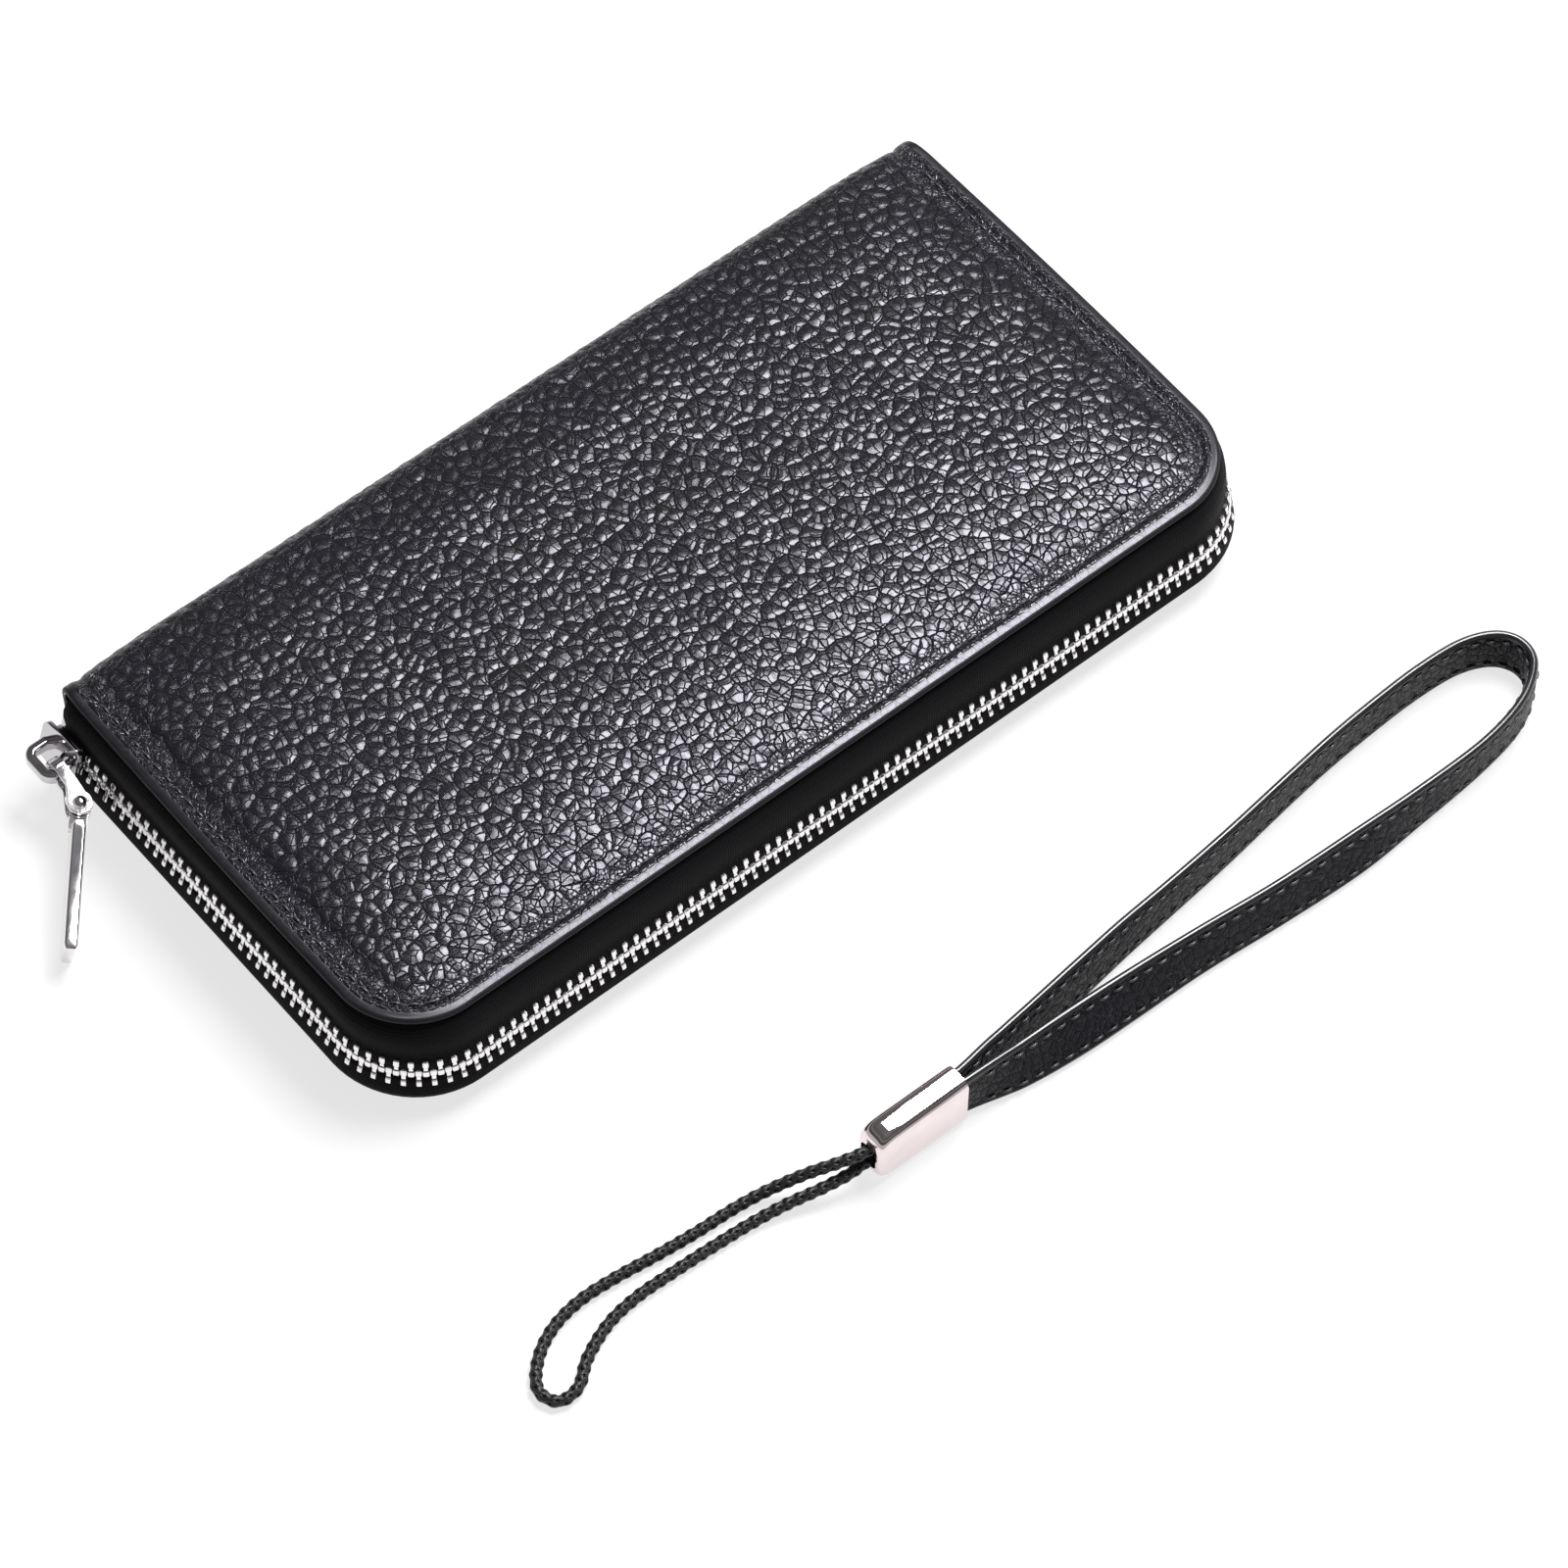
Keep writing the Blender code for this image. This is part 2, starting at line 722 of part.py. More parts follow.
def pull():
    tilt = tilt_link()
    link_pivot = pivot("link_lift", link_axis())
    outer = LINK_CLEARANCE + CHEEK_THICKNESS
    x, y, _ = rivet_place()
    parts = [
        moved(prism(cheek_outline(), LINK_CLEARANCE, outer), tilt),
        moved(prism(cheek_outline(), -outer, -LINK_CLEARANCE), tilt),
        moved(
            box(
                (FOLD_LAP - FOLD_HALF_WIDTH, LINK_CLEARANCE, FOLD_LAP - outer),
                (FOLD_HALF_WIDTH - FOLD_LAP, outer, outer - FOLD_LAP),
            ),
            tilt,
        ),
    ]
    hole = moved(rod((x, y), RIVET_HOLE, -2 * outer, 2 * outer), tilt)
    joined("pull_link", parts, chrome_finish("pull link"), link_pivot, cuts=[hole])

    clear = outer + GAP / 2
    rivet = [moved(rod((x, y), RIVET_RADIUS, -clear - RIVET_LAP, clear + RIVET_LAP), tilt)]
    for low in (clear, -clear - RIVET_HEAD_THICKNESS):
        rivet.append(moved(rod((x, y), RIVET_HEAD_RADIUS, low, low + RIVET_HEAD_THICKNESS), tilt))
    joined("pull_rivet", rivet, chrome_finish("pull rivet"), link_pivot)

    swing = tilt @ Matrix.Translation(rivet_place())
    swing = swing @ Matrix.Rotation(math.radians(-BAR_OUTWARD), 4, "Z")
    bar_pivot = pivot("bar_swing", tilt @ rivet_place())
    tongue = arc((0, 0), TONGUE_HALF_WIDTH, 0, 180, TONGUE_STEPS)
    root = -BAR_START - TONGUE_LAP
    tongue += [(-TONGUE_HALF_WIDTH, root), (TONGUE_HALF_WIDTH, root)]
    side = BAR_HALF_THICKNESS
    cut = BAR_CHAMFER
    section = [
        (-side, BAR_HALF_HEIGHT - cut),
        (-side + cut, BAR_HALF_HEIGHT),
        (side - cut, BAR_HALF_HEIGHT),
        (side, BAR_HALF_HEIGHT - cut),
        (side, cut - BAR_HALF_HEIGHT),
        (side - cut, -BAR_HALF_HEIGHT),
        (-side + cut, -BAR_HALF_HEIGHT),
        (-side, cut - BAR_HALF_HEIGHT),
    ]
    blade = sweep([[(px, py, pz) for px, pz in section] for py in (-BAR_START, -BAR_END)])
    half = TONGUE_HALF_THICKNESS
    parts = [moved(blade, swing), moved(prism(tongue, -half, half), swing)]
    hole = moved(rod((0, 0), RIVET_HOLE, -2 * half, 2 * half), swing)
    joined("pull_bar", parts, chrome_finish("pull bar"), bar_pivot, cuts=[hole])


# Coin pocket


def coin_pocket(parent):
    cloth = lining_finish("coin pocket cloth")
    leaf("coin_pocket_lower_wall", COIN_LOWER_Z, COIN_HALF_LENGTH, COIN_FRONT_Y, cloth, parent)
    leaf("coin_pocket_upper_wall", COIN_UPPER_Z, COIN_HALF_LENGTH, COIN_FRONT_Y, cloth, parent)
    low = COIN_LOWER_Z + LEAF_THICKNESS + GAP
    high = COIN_UPPER_Z - GAP
    tape = box(
        (-COIN_ZIP_HALF_LENGTH, COIN_TAPE_Y, low),
        (COIN_ZIP_HALF_LENGTH, COIN_TAPE_Y + COIN_TAPE_THICKNESS, high),
    )
    piece("coin_zip_tape", tape, tape_finish("coin zip tape"), parent)
    chain = box(
        (-COIN_ZIP_HALF_LENGTH, COIN_CHAIN_FRONT_Y, COIN_Z - COIN_CHAIN_HALF_WIDTH),
        (COIN_ZIP_HALF_LENGTH, COIN_CHAIN_BACK_Y, COIN_Z + COIN_CHAIN_HALF_WIDTH),
    )
    piece("coin_zip_teeth", chain, chrome_finish("coin zip teeth"), parent)


def coin_slider():
    """A small channel that hugs the coin zip, with a tab folded flat along it."""
    start = COIN_SLIDER_X - COIN_SLIDER_LENGTH / 2
    end = COIN_SLIDER_X + COIN_SLIDER_LENGTH / 2
    inner = COIN_CHAIN_FRONT_Y - GAP
    outer = inner - COIN_SLIDER_WALL
    half = COIN_SLIDER_HALF_WIDTH
    reach = COIN_CHAIN_BACK_Y - GAP
    wall = COIN_SLIDER_WALL
    profile = [
        (outer, COIN_Z - half),
        (reach, COIN_Z - half),
        (reach, COIN_Z - half + wall),
        (inner, COIN_Z - half + wall),
        (inner, COIN_Z + half - wall),
        (reach, COIN_Z + half - wall),
        (reach, COIN_Z + half),
        (outer, COIN_Z + half),
    ]
    loops = [[(x, y, z) for y, z in profile] for x in (start, end)]
    parent = pivot("coin_slide", (COIN_SLIDER_X, inner, COIN_Z))
    piece("coin_slider", sweep(loops), chrome_finish("coin slider"), parent)
    back = outer - GAP
    tab = box(
        (COIN_SLIDER_X, back - COIN_PULL_THICKNESS, COIN_Z - COIN_PULL_HALF_WIDTH),
        (COIN_SLIDER_X + COIN_PULL_LENGTH, back, COIN_Z + COIN_PULL_HALF_WIDTH),
    )
    tab_pivot = pivot("coin_pull_swing", (COIN_SLIDER_X, back, COIN_Z))
    piece("coin_pull", tab, chrome_finish("coin pull"), tab_pivot)


# Wrist strap


def smooth_route(route, count):
    """Points evenly spread on a smooth curve through the route's points."""
    ends = [2 * Vector(route[0]) - Vector(route[1]), 2 * Vector(route[-1]) - Vector(route[-2])]
    knots = [ends[0]] + [Vector(p) for p in route] + [ends[1]]
    fine = []
    for a, b, c, d in zip(knots, knots[1:], knots[2:], knots[3:]):
        for i in range(CURVE_STEPS):
            t = i / CURVE_STEPS
            fine.append(
                0.5
                * (2 * b + (c - a) * t + (2 * a - 5 * b + 4 * c - d) * t**2 + (3 * b - a - 3 * c + d) * t**3)
            )
    fine.append(Vector(route[-1]))
    run = [0.0]
    for first, second in zip(fine, fine[1:]):
        run.append(run[-1] + (second - first).length)
    points = []
    at = 0
    for i in range(count):
        want = run[-1] * i / (count - 1)
        while at < len(run) - 2 and run[at + 1] < want:
            at += 1
        share = (want - run[at]) / max(run[at + 1] - run[at], 1e-9)
        points.append(fine[at].lerp(fine[at + 1], min(1.0, share)))
    return points


def strap_loop(parent):
    """A flat strap on edge. The route's third number is the lean from upright, towards +Y."""
    route = [Vector(point) for point in STRAP_ROUTE]
    total = sum((b.xy - a.xy).length for a, b in zip(route, route[1:]))
    points = smooth_route(STRAP_ROUTE, int(total / STRAP_STEP))
    loops = []
    for i, point in enumerate(points):
        before = points[max(i - 1, 0)]
        after = points[min(i + 1, len(points) - 1)]
        along = Vector((after.x - before.x, after.y - before.y, 0.0)).normalized()
        upright = Vector((0.0, math.sin(math.radians(point.z)), math.cos(math.radians(point.z))))
        across = along.cross(upright).normalized()
        up = across.cross(along).normalized()
        half_up = up * STRAP_WIDTH / 2
        half_across = across * STRAP_THICKNESS / 2
        near = min(1.0, max(0.0, (FERRULE_RIGHT_X + LIFT_RUN - point.x) / LIFT_RUN))
        rise = STRAP_REST_Z + FERRULE_LIFT * near + abs(half_up.z) + abs(half_across.z)
        middle = Vector((point.x, point.y, rise))
        loops.append(
            [
                middle + half_up + half_across,
                middle + half_up - half_across,
                middle - half_up - half_across,
                middle - half_up + half_across,
            ]
        )
    piece("strap_loop", sweep(loops), leather_finish("strap leather"), parent)


def ferrule_loop(x, half_thickness, low, high, radius):
    """An upright rounded rectangle across the sleeve."""
    corners = [
        (half_thickness - radius, high - radius, 0),
        (radius - half_thickness, high - radius, 90),
        (radius - half_thickness, low + radius, 180),
        (half_thickness - radius, low + radius, 270),
    ]
    points = []
    for y, z, start in corners:
        points += [(x, py, pz) for py, pz in arc((y, z), radius, start, start + 90, FERRULE_FACETS)]
    return points


def ferrule(parent):
    """A sleeve, with a smaller mouth at its left end for the cord."""
    low = STRAP_REST_Z
    high = low + FERRULE_HEIGHT
    middle = (low + high) / 2
    mouth = (middle - CORD_HOLE_HEIGHT / 2, middle + CORD_HOLE_HEIGHT / 2)
    inside = FERRULE_HALF_THICKNESS - FERRULE_WALL
    cavity = (low + FERRULE_WALL, high - FERRULE_WALL)
    lip = FERRULE_LEFT_X + FERRULE_LIP
    stations = [
        (FERRULE_LEFT_X, FERRULE_LIP, CORD_HOLE_HALF_THICKNESS, mouth),
        (lip, 0.0, CORD_HOLE_HALF_THICKNESS, mouth),
        (lip + FERRULE_WALL, 0.0, inside, cavity),
        (FERRULE_RIGHT_X, 0.0, inside, cavity),
    ]
    loops = []
    for x, shrink, inner_half, (inner_low, inner_high) in stations:
        half = FERRULE_HALF_THICKNESS - shrink / 2
        outer = ferrule_loop(x, half, low + shrink, high - shrink, FERRULE_RADIUS)
        inner_radius = FERRULE_RADIUS - FERRULE_WALL
        inner = ferrule_loop(x, inner_half, inner_low, inner_high, inner_radius)
        loops.append((outer, inner))
    body = moved(tube_wall(loops), Matrix.Translation((0.0, FERRULE_Y, 0.0)))
    piece("ferrule", body, chrome_finish("ferrule"), parent)


def cord_loop(parent):
    curve = bpy.data.curves.new("cord_loop", "CURVE")
    curve.dimensions = "3D"
    curve.bevel_depth = CORD_DIAMETER / 2 * MM
    curve.bevel_resolution = 2
    curve.use_fill_caps = True
    points = smooth_route(CORD_ROUTE, CORD_POINTS)
    spline = curve.splines.new("POLY")
    spline.points.add(len(points) - 1)
    for knot, point in zip(spline.points, points):
        knot.co = (*(point * MM), 1.0)
    cord = bpy.data.objects.new("cord_loop", curve)
    curve.materials.append(cord_finish("cord"))
    bpy.context.collection.objects.link(cord)
    cord.parent = parent
    cord.matrix_parent_inverse = Matrix.Translation(-parent.location)


def build():
    clear_scene()
    hinge_place = (0.0, FOLD_Y, HEIGHT / 2)
    cover = pivot("cover_hinge", hinge_place)
    cover_layers("bottom", None)
    cover_layers("top", cover)
    card_pockets("bottom", None)
    card_pockets("top", cover)
    spine_layer("spine_leather", 0.0, LEATHER, SPINE_HALF_LENGTH, leather_finish("spine leather"))
    spine_layer(
        "spine_lining",
        LEATHER + GAP,
        LINING_THICKNESS,
        LEAF_HALF_LENGTH,
        lining_finish("spine lining"),
    )
    cloth = lining_finish("divider cloth")
    lower_leaf = pivot("lower_leaf_hinge", hinge_place)
    upper_leaf = pivot("upper_leaf_hinge", hinge_place)
    pocket_leaf = pivot("pocket_leaf_hinge", hinge_place)
    leaf("lower_divider", LOWER_DIVIDER_Z, LEAF_HALF_LENGTH, LEAF_FRONT_Y, cloth, lower_leaf)
    leaf("upper_divider", UPPER_DIVIDER_Z, LEAF_HALF_LENGTH, LEAF_FRONT_Y, cloth, upper_leaf)
    coin_pocket(pocket_leaf)
    coin_slider()
    gusset("left_gusset", -1)
    gusset("right_gusset", 1)
    zip_tape("lower_zip_tape", -1, None)
    zip_tape("upper_zip_tape", 1, cover)
    zip_teeth("lower_zip_teeth", -1, None)
    zip_teeth("upper_zip_teeth", 1, cover)
    zip_stops()
    slider()
    pull()
    strap = pivot("strap_lift", (FERRULE_LEFT_X, FERRULE_Y, 0.0))
    strap_loop(strap)
    ferrule(strap)
    cord_loop(strap)


build()
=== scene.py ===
from math import cos, exp, pi, radians, sin, sqrt

import bmesh
import bpy
import numpy as np
from mathutils import Matrix, Vector


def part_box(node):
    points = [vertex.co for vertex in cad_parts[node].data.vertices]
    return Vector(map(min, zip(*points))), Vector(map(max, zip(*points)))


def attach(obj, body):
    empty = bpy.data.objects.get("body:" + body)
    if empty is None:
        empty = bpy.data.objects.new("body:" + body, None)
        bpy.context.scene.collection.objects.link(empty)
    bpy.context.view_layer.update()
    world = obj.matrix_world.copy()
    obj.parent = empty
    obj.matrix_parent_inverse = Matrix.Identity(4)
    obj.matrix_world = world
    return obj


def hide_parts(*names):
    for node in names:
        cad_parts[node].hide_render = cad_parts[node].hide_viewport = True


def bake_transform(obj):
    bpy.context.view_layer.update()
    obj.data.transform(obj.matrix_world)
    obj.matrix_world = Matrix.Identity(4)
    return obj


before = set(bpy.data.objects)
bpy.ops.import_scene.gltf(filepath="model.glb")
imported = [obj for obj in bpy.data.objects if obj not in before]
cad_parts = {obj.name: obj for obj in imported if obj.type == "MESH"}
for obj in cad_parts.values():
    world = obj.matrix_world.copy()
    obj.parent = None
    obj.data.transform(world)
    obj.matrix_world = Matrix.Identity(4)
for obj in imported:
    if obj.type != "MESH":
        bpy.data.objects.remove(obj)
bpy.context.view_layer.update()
mm = 0.001
print("frame loaded:", len(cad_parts), "nodes")

cameraLook = {
    "azimuth": -40.69, "elevation": 57.10, "roll": 1.4,  # degrees
    "distance": 1223.3, "aim": (-6.3, -39.9, 12.0), "lens": 163.7,  # mm
}


def makeCamera(look):
    a = radians(look["azimuth"])
    e = radians(look["elevation"])
    r = radians(look["roll"])
    ahead = Vector((-sin(a) * cos(e), cos(a) * cos(e), -sin(e)))
    right = Vector((cos(a), sin(a), 0.0))
    up = right.cross(ahead)
    right, up = right * cos(r) + up * sin(r), up * cos(r) - right * sin(r)
    data = bpy.data.cameras.new("studioCamera")
    data.lens = look["lens"]
    data.sensor_width = 36.0
    data.clip_start = 0.05
    data.clip_end = 20.0
    camera = bpy.data.objects.new("studioCamera", data)
    bpy.context.scene.collection.objects.link(camera)
    place = Vector(look["aim"]) * mm - ahead * look["distance"] * mm
    turn = Matrix((right, up, -ahead)).transposed()
    camera.matrix_world = Matrix.Translation(place) @ turn.to_4x4()
    bpy.context.scene.camera = camera


makeCamera(cameraLook)

studio = {
    "floorHalf": 3.0,
    "floorGlow": 0.74,
    "floorShade": 0.22,
    "skyStrength": 0.60,
    "keyPlace": (0.30, 0.02, 0.72),
    "keyAim": (0.02, -0.03, 0.0),
    "keySize": (0.44, 0.34),
    "keyPower": 12.0,
    "skyLow": (0.55, 0.55, 0.57, 1),
    "skyHigh": (0.3, 0.3, 0.32, 1),
    # dark bands low in the sky give the metal its stripes
    "skyBands": ((0.10, 0.9), (0.30, 0.9), (0.40, 0.12), (0.52, 0.10), (0.62, 0.34), (0.80, 0.16), (0.90, 0.22)),
}


def link(tree, source, target):
    tree.links.new(source, target)


def newMaterial(name):
    material = bpy.data.materials.new(name)
    material.use_nodes = True
    tree = material.node_tree
    shader = tree.nodes["Principled BSDF"]
    return material, tree, shader


def makeFloor():
    half = studio["floorHalf"]
    mesh = bpy.data.meshes.new("studioFloor")
    corners = [(-half, -half, 0), (half, -half, 0), (half, half, 0), (-half, half, 0)]
    mesh.from_pydata(corners, [], [(0, 1, 2, 3)])
    floor = bpy.data.objects.new("studioFloor", mesh)
    bpy.context.scene.collection.objects.link(floor)
    material, tree, shader = newMaterial("paleFloor")
    shade = studio["floorShade"]
    shader.inputs["Base Color"].default_value = (shade, shade, shade, 1)
    shader.inputs["Roughness"].default_value = 0.8
    shader.inputs["Specular IOR Level"].default_value = 0.1
    shader.inputs["Emission Color"].default_value = (1, 1, 1, 1)
    shader.inputs["Emission Strength"].default_value = studio["floorGlow"]
    mesh.materials.append(material)


def areaLight(name, place, aim, size, power):
    data = bpy.data.lights.new(name, "AREA")
    data.shape = "RECTANGLE"
    data.size, data.size_y = size
    data.energy = power
    lamp = bpy.data.objects.new(name, data)
    bpy.context.scene.collection.objects.link(lamp)
    lamp.location = place
    lamp.rotation_euler = (Vector(aim) - Vector(place)).to_track_quat("-Z", "Y").to_euler()


def makeSky():
    world = bpy.data.worlds.new("paleStudio")
    bpy.context.scene.world = world
    world.use_nodes = True
    tree = world.node_tree
    back = tree.nodes["Background"]
    coord = tree.nodes.new("ShaderNodeTexCoord")
    split = tree.nodes.new("ShaderNodeSeparateXYZ")
    ramp = tree.nodes.new("ShaderNodeValToRGB")
    link(tree, coord.outputs["Generated"], split.inputs[0])
    link(tree, split.outputs["Z"], ramp.inputs[0])
    stops = ramp.color_ramp.elements
    stops[0].position, stops[0].color = 0.0, studio["skyLow"]
    stops[1].position, stops[1].color = 1.0, studio["skyHigh"]
    for spot, shade in studio["skyBands"]:
        stop = stops.new(spot)
        stop.color = (shade, shade, shade, 1)
    link(tree, ramp.outputs[0], back.inputs["Color"])
    back.inputs["Strength"].default_value = studio["skyStrength"]


makeFloor()
makeSky()
areaLight("keySoftbox", studio["keyPlace"], studio["keyAim"], studio["keySize"], studio["keyPower"])
bpy.context.scene.view_settings.view_transform = "Standard"
print("camera, floor and light set")


def newPiece(name, points, faces, materials, smooth=True):
    mesh = bpy.data.meshes.new(name)
    mesh.from_pydata([tuple(c * mm for c in p) for p in points], [], faces)
    mesh.validate()
    if smooth:
        mesh.shade_smooth()
    for material in materials if isinstance(materials, (list, tuple)) else [materials]:
        mesh.materials.append(material)
    piece = bpy.data.objects.new(name, mesh)
    bpy.context.scene.collection.objects.link(piece)
    return piece


def tidyNormals(piece):
    work = bmesh.new()
    work.from_mesh(piece.data)
    bmesh.ops.recalc_face_normals(work, faces=work.faces)
    work.to_mesh(piece.data)
    work.free()


def solidPiece(name, shapes, material):
    # one piece from several shapes, all facing outwards
    points, faces = gather(shapes)
    piece = newPiece(name, points, faces, material)
    tidyNormals(piece)
    return piece


def settle(piece, body, node=None):
    # puts the piece on what it rides on, and hides the node it stands for
    if body:
        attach(piece, body)
    if node:
        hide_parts(node)


def nodeBox(node):
    return [Vector(corner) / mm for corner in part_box(node)]


def runAlong(line):
    # distance along a line at each of its points
    return np.concatenate([[0], np.cumsum(np.linalg.norm(np.diff(line, axis=0), axis=1))])


def sweptShape(loops, closed=False):
    # points and faces of a closed section swept through loops, its ends capped unless the sweep is a ring
    count = len(loops[0])
    points = [p for loop in loops for p in loop]
    faces = []
    spans = len(loops) if closed else len(loops) - 1
    for i in range(spans):
        j = (i + 1) % len(loops)
        for k in range(count):
            m = (k + 1) % count
            faces.append((i * count + k, i * count + m, j * count + m, j * count + k))
    if not closed:
        faces.append(tuple(reversed(range(count))))
        faces.append(tuple(range((len(loops) - 1) * count, len(loops) * count)))
    return points, faces


def gather(shapes):
    points, faces = [], []
    for shapePoints, shapeFaces in shapes:
        start = len(points)
        points += shapePoints
        faces += [tuple(i + start for i in face) for face in shapeFaces]
    return points, faces


def arcPoints(x, y, radius, first, last, steps):
    return [
        (x + radius * cos(radians(first + (last - first) * i / steps)),
         y + radius * sin(radians(first + (last - first) * i / steps)))
        for i in range(steps + 1)
    ]


def roundedRect(halfX, halfY, radius, steps=4):
    points = []
    for sx, sy, first in ((1, 1, 0), (-1, 1, 90), (-1, -1, 180), (1, -1, 270)):
        points += arcPoints(sx * (halfX - radius), sy * (halfY - radius), radius, first, first + 90, steps)
    return points


def smoothRoute(knots, step):
    # evenly spaced points on a Catmull-Rom curve through the knots, whatever their number of coordinates
    knots = [np.array(k, float) for k in knots]
    knots = [2 * knots[0] - knots[1]] + knots + [2 * knots[-1] - knots[-2]]
    fine = []
    for a, b, c, d in zip(knots, knots[1:], knots[2:], knots[3:]):
        for i in range(20):
            t = i / 20
            bend, twist = 2 * a - 5 * b + 4 * c - d, 3 * b - a - 3 * c + d
            fine.append(0.5 * (2 * b + (c - a) * t + bend * t**2 + twist * t**3))
    fine.append(knots[-2])
    fine = np.array(fine)
    run = runAlong(fine)
    count = max(2, int(run[-1] / step) + 1)
    want = np.linspace(0, run[-1], count)
    return np.stack([np.interp(want, run, fine[:, i]) for i in range(fine.shape[1])], 1)


def fullTurn(count):
    # evenly spaced angles once round
    return np.linspace(0, 2 * pi, count + 1)[:-1]


def smoothStep(value, low, high):
    t = np.clip((value - low) / (high - low), 0, 1)
    return t * t * (3 - 2 * t)



def mathNode(tree, operation, first, second=None):
    node = tree.nodes.new("ShaderNodeMath")
    node.operation = operation
    for i, value in enumerate((first, second)):
        if value is None:
            continue
        if isinstance(value, (int, float)):
            node.inputs[i].default_value = value
        else:
            link(tree, value, node.inputs[i])
    return node.outputs[0]


def times(tree, first, second):
    return mathNode(tree, "MULTIPLY", first, second)


def plus(tree, first, second):
    return mathNode(tree, "ADD", first, second)


def vectorNode(tree, operation, first, second=None, scale=None):
    node = tree.nodes.new("ShaderNodeVectorMath")
    node.operation = operation
    for i, value in enumerate((first, second)):
        if value is None:
            continue
        if isinstance(value, tuple):
            node.inputs[i].default_value = value
        else:
            link(tree, value, node.inputs[i])
    if scale is not None:
        node.inputs["Scale"].default_value = scale
    return node.outputs["Value"] if operation == "DOT_PRODUCT" else node.outputs["Vector"]


def easeNode(tree, value, low, high, fromValue=0.0, toValue=1.0):
    node = tree.nodes.new("ShaderNodeMapRange")
    node.interpolation_type = "SMOOTHSTEP"
    node.inputs["From Min"].default_value = low
    node.inputs["From Max"].default_value = high
    node.inputs["To Min"].default_value = fromValue
    node.inputs["To Max"].default_value = toValue
    link(tree, value, node.inputs["Value"])
    return node.outputs["Result"]


def noiseNode(tree, vector, scale, detail=3.0, roughness=0.55, colour=False):
    node = tree.nodes.new("ShaderNodeTexNoise")
    node.inputs["Scale"].default_value = scale
    node.inputs["Detail"].default_value = detail
    node.inputs["Roughness"].default_value = roughness
    link(tree, vector, node.inputs["Vector"])
    return node.outputs["Color" if colour else "Fac"]


def cellNode(tree, vector, scale, feature, randomness=0.95):
    node = tree.nodes.new("ShaderNodeTexVoronoi")
    node.feature = feature
    node.voronoi_dimensions = "2D"
    node.inputs["Scale"].default_value = scale
    node.inputs["Randomness"].default_value = randomness
    link(tree, vector, node.inputs["Vector"])
    return node


def attributeNode(tree, name):
    node = tree.nodes.new("ShaderNodeAttribute")
    node.attribute_name = name
    return node


def mixColour(tree, amount, first, second):
    node = tree.nodes.new("ShaderNodeMix")
    node.data_type = "RGBA"
    if isinstance(amount, (int, float)):
        node.inputs[0].default_value = amount
    else:
        link(tree, amount, node.inputs[0])
    for socket, value in ((node.inputs[6], first), (node.inputs[7], second)):
        if isinstance(value, tuple):
            socket.default_value = (*value, 1)
        else:
            link(tree, value, socket)
    return node.outputs[2]


def bumpNode(tree, height, distance, strength, shader):
    node = tree.nodes.new("ShaderNodeBump")
    node.inputs["Strength"].default_value = strength
    node.inputs["Distance"].default_value = distance
    link(tree, height, node.inputs["Height"])
    link(tree, node.outputs[0], shader.inputs["Normal"])


pebble = {
    "cell": 2.75,  # size of a pebble, mm
    "facet": 1.55,  # size of the small creases between pebbles
    "wander": 0.55,  # how far creases stray from straight
    "depth": 0.30,  # depth of the creases
    "dome": 0.13,  # height of each pebble in the mesh
    "top": (0.0050, 0.0047, 0.0062),
    "crease": (0.0005, 0.0005, 0.0007),
    # painted shade: the creases get a colour ten times darker than the tops, for the shade that falls in them
    "cool": (0.0038, 0.0037, 0.0074),
    "tint": (0.92, 0.90, 1.0, 1),  # of its shine
    "pucker": (1.2, 2.0, 4.2, 6.4),  # where the wrinkled band beside the sewing starts and ends
    "smoothRim": (0.9, 1.7),
}


def strayed(tree, spot):
    # spot in mm, moved a little by noise so that no crease is straight
    wander = noiseNode(tree, spot, 0.45, 1.0, colour=True)
    wander = vectorNode(tree, "SUBTRACT", wander, (0.5, 0.5, 0.5))
    wander = vectorNode(tree, "SCALE", wander, scale=pebble["wander"] * 2)
    return vectorNode(tree, "ADD", spot, wander)


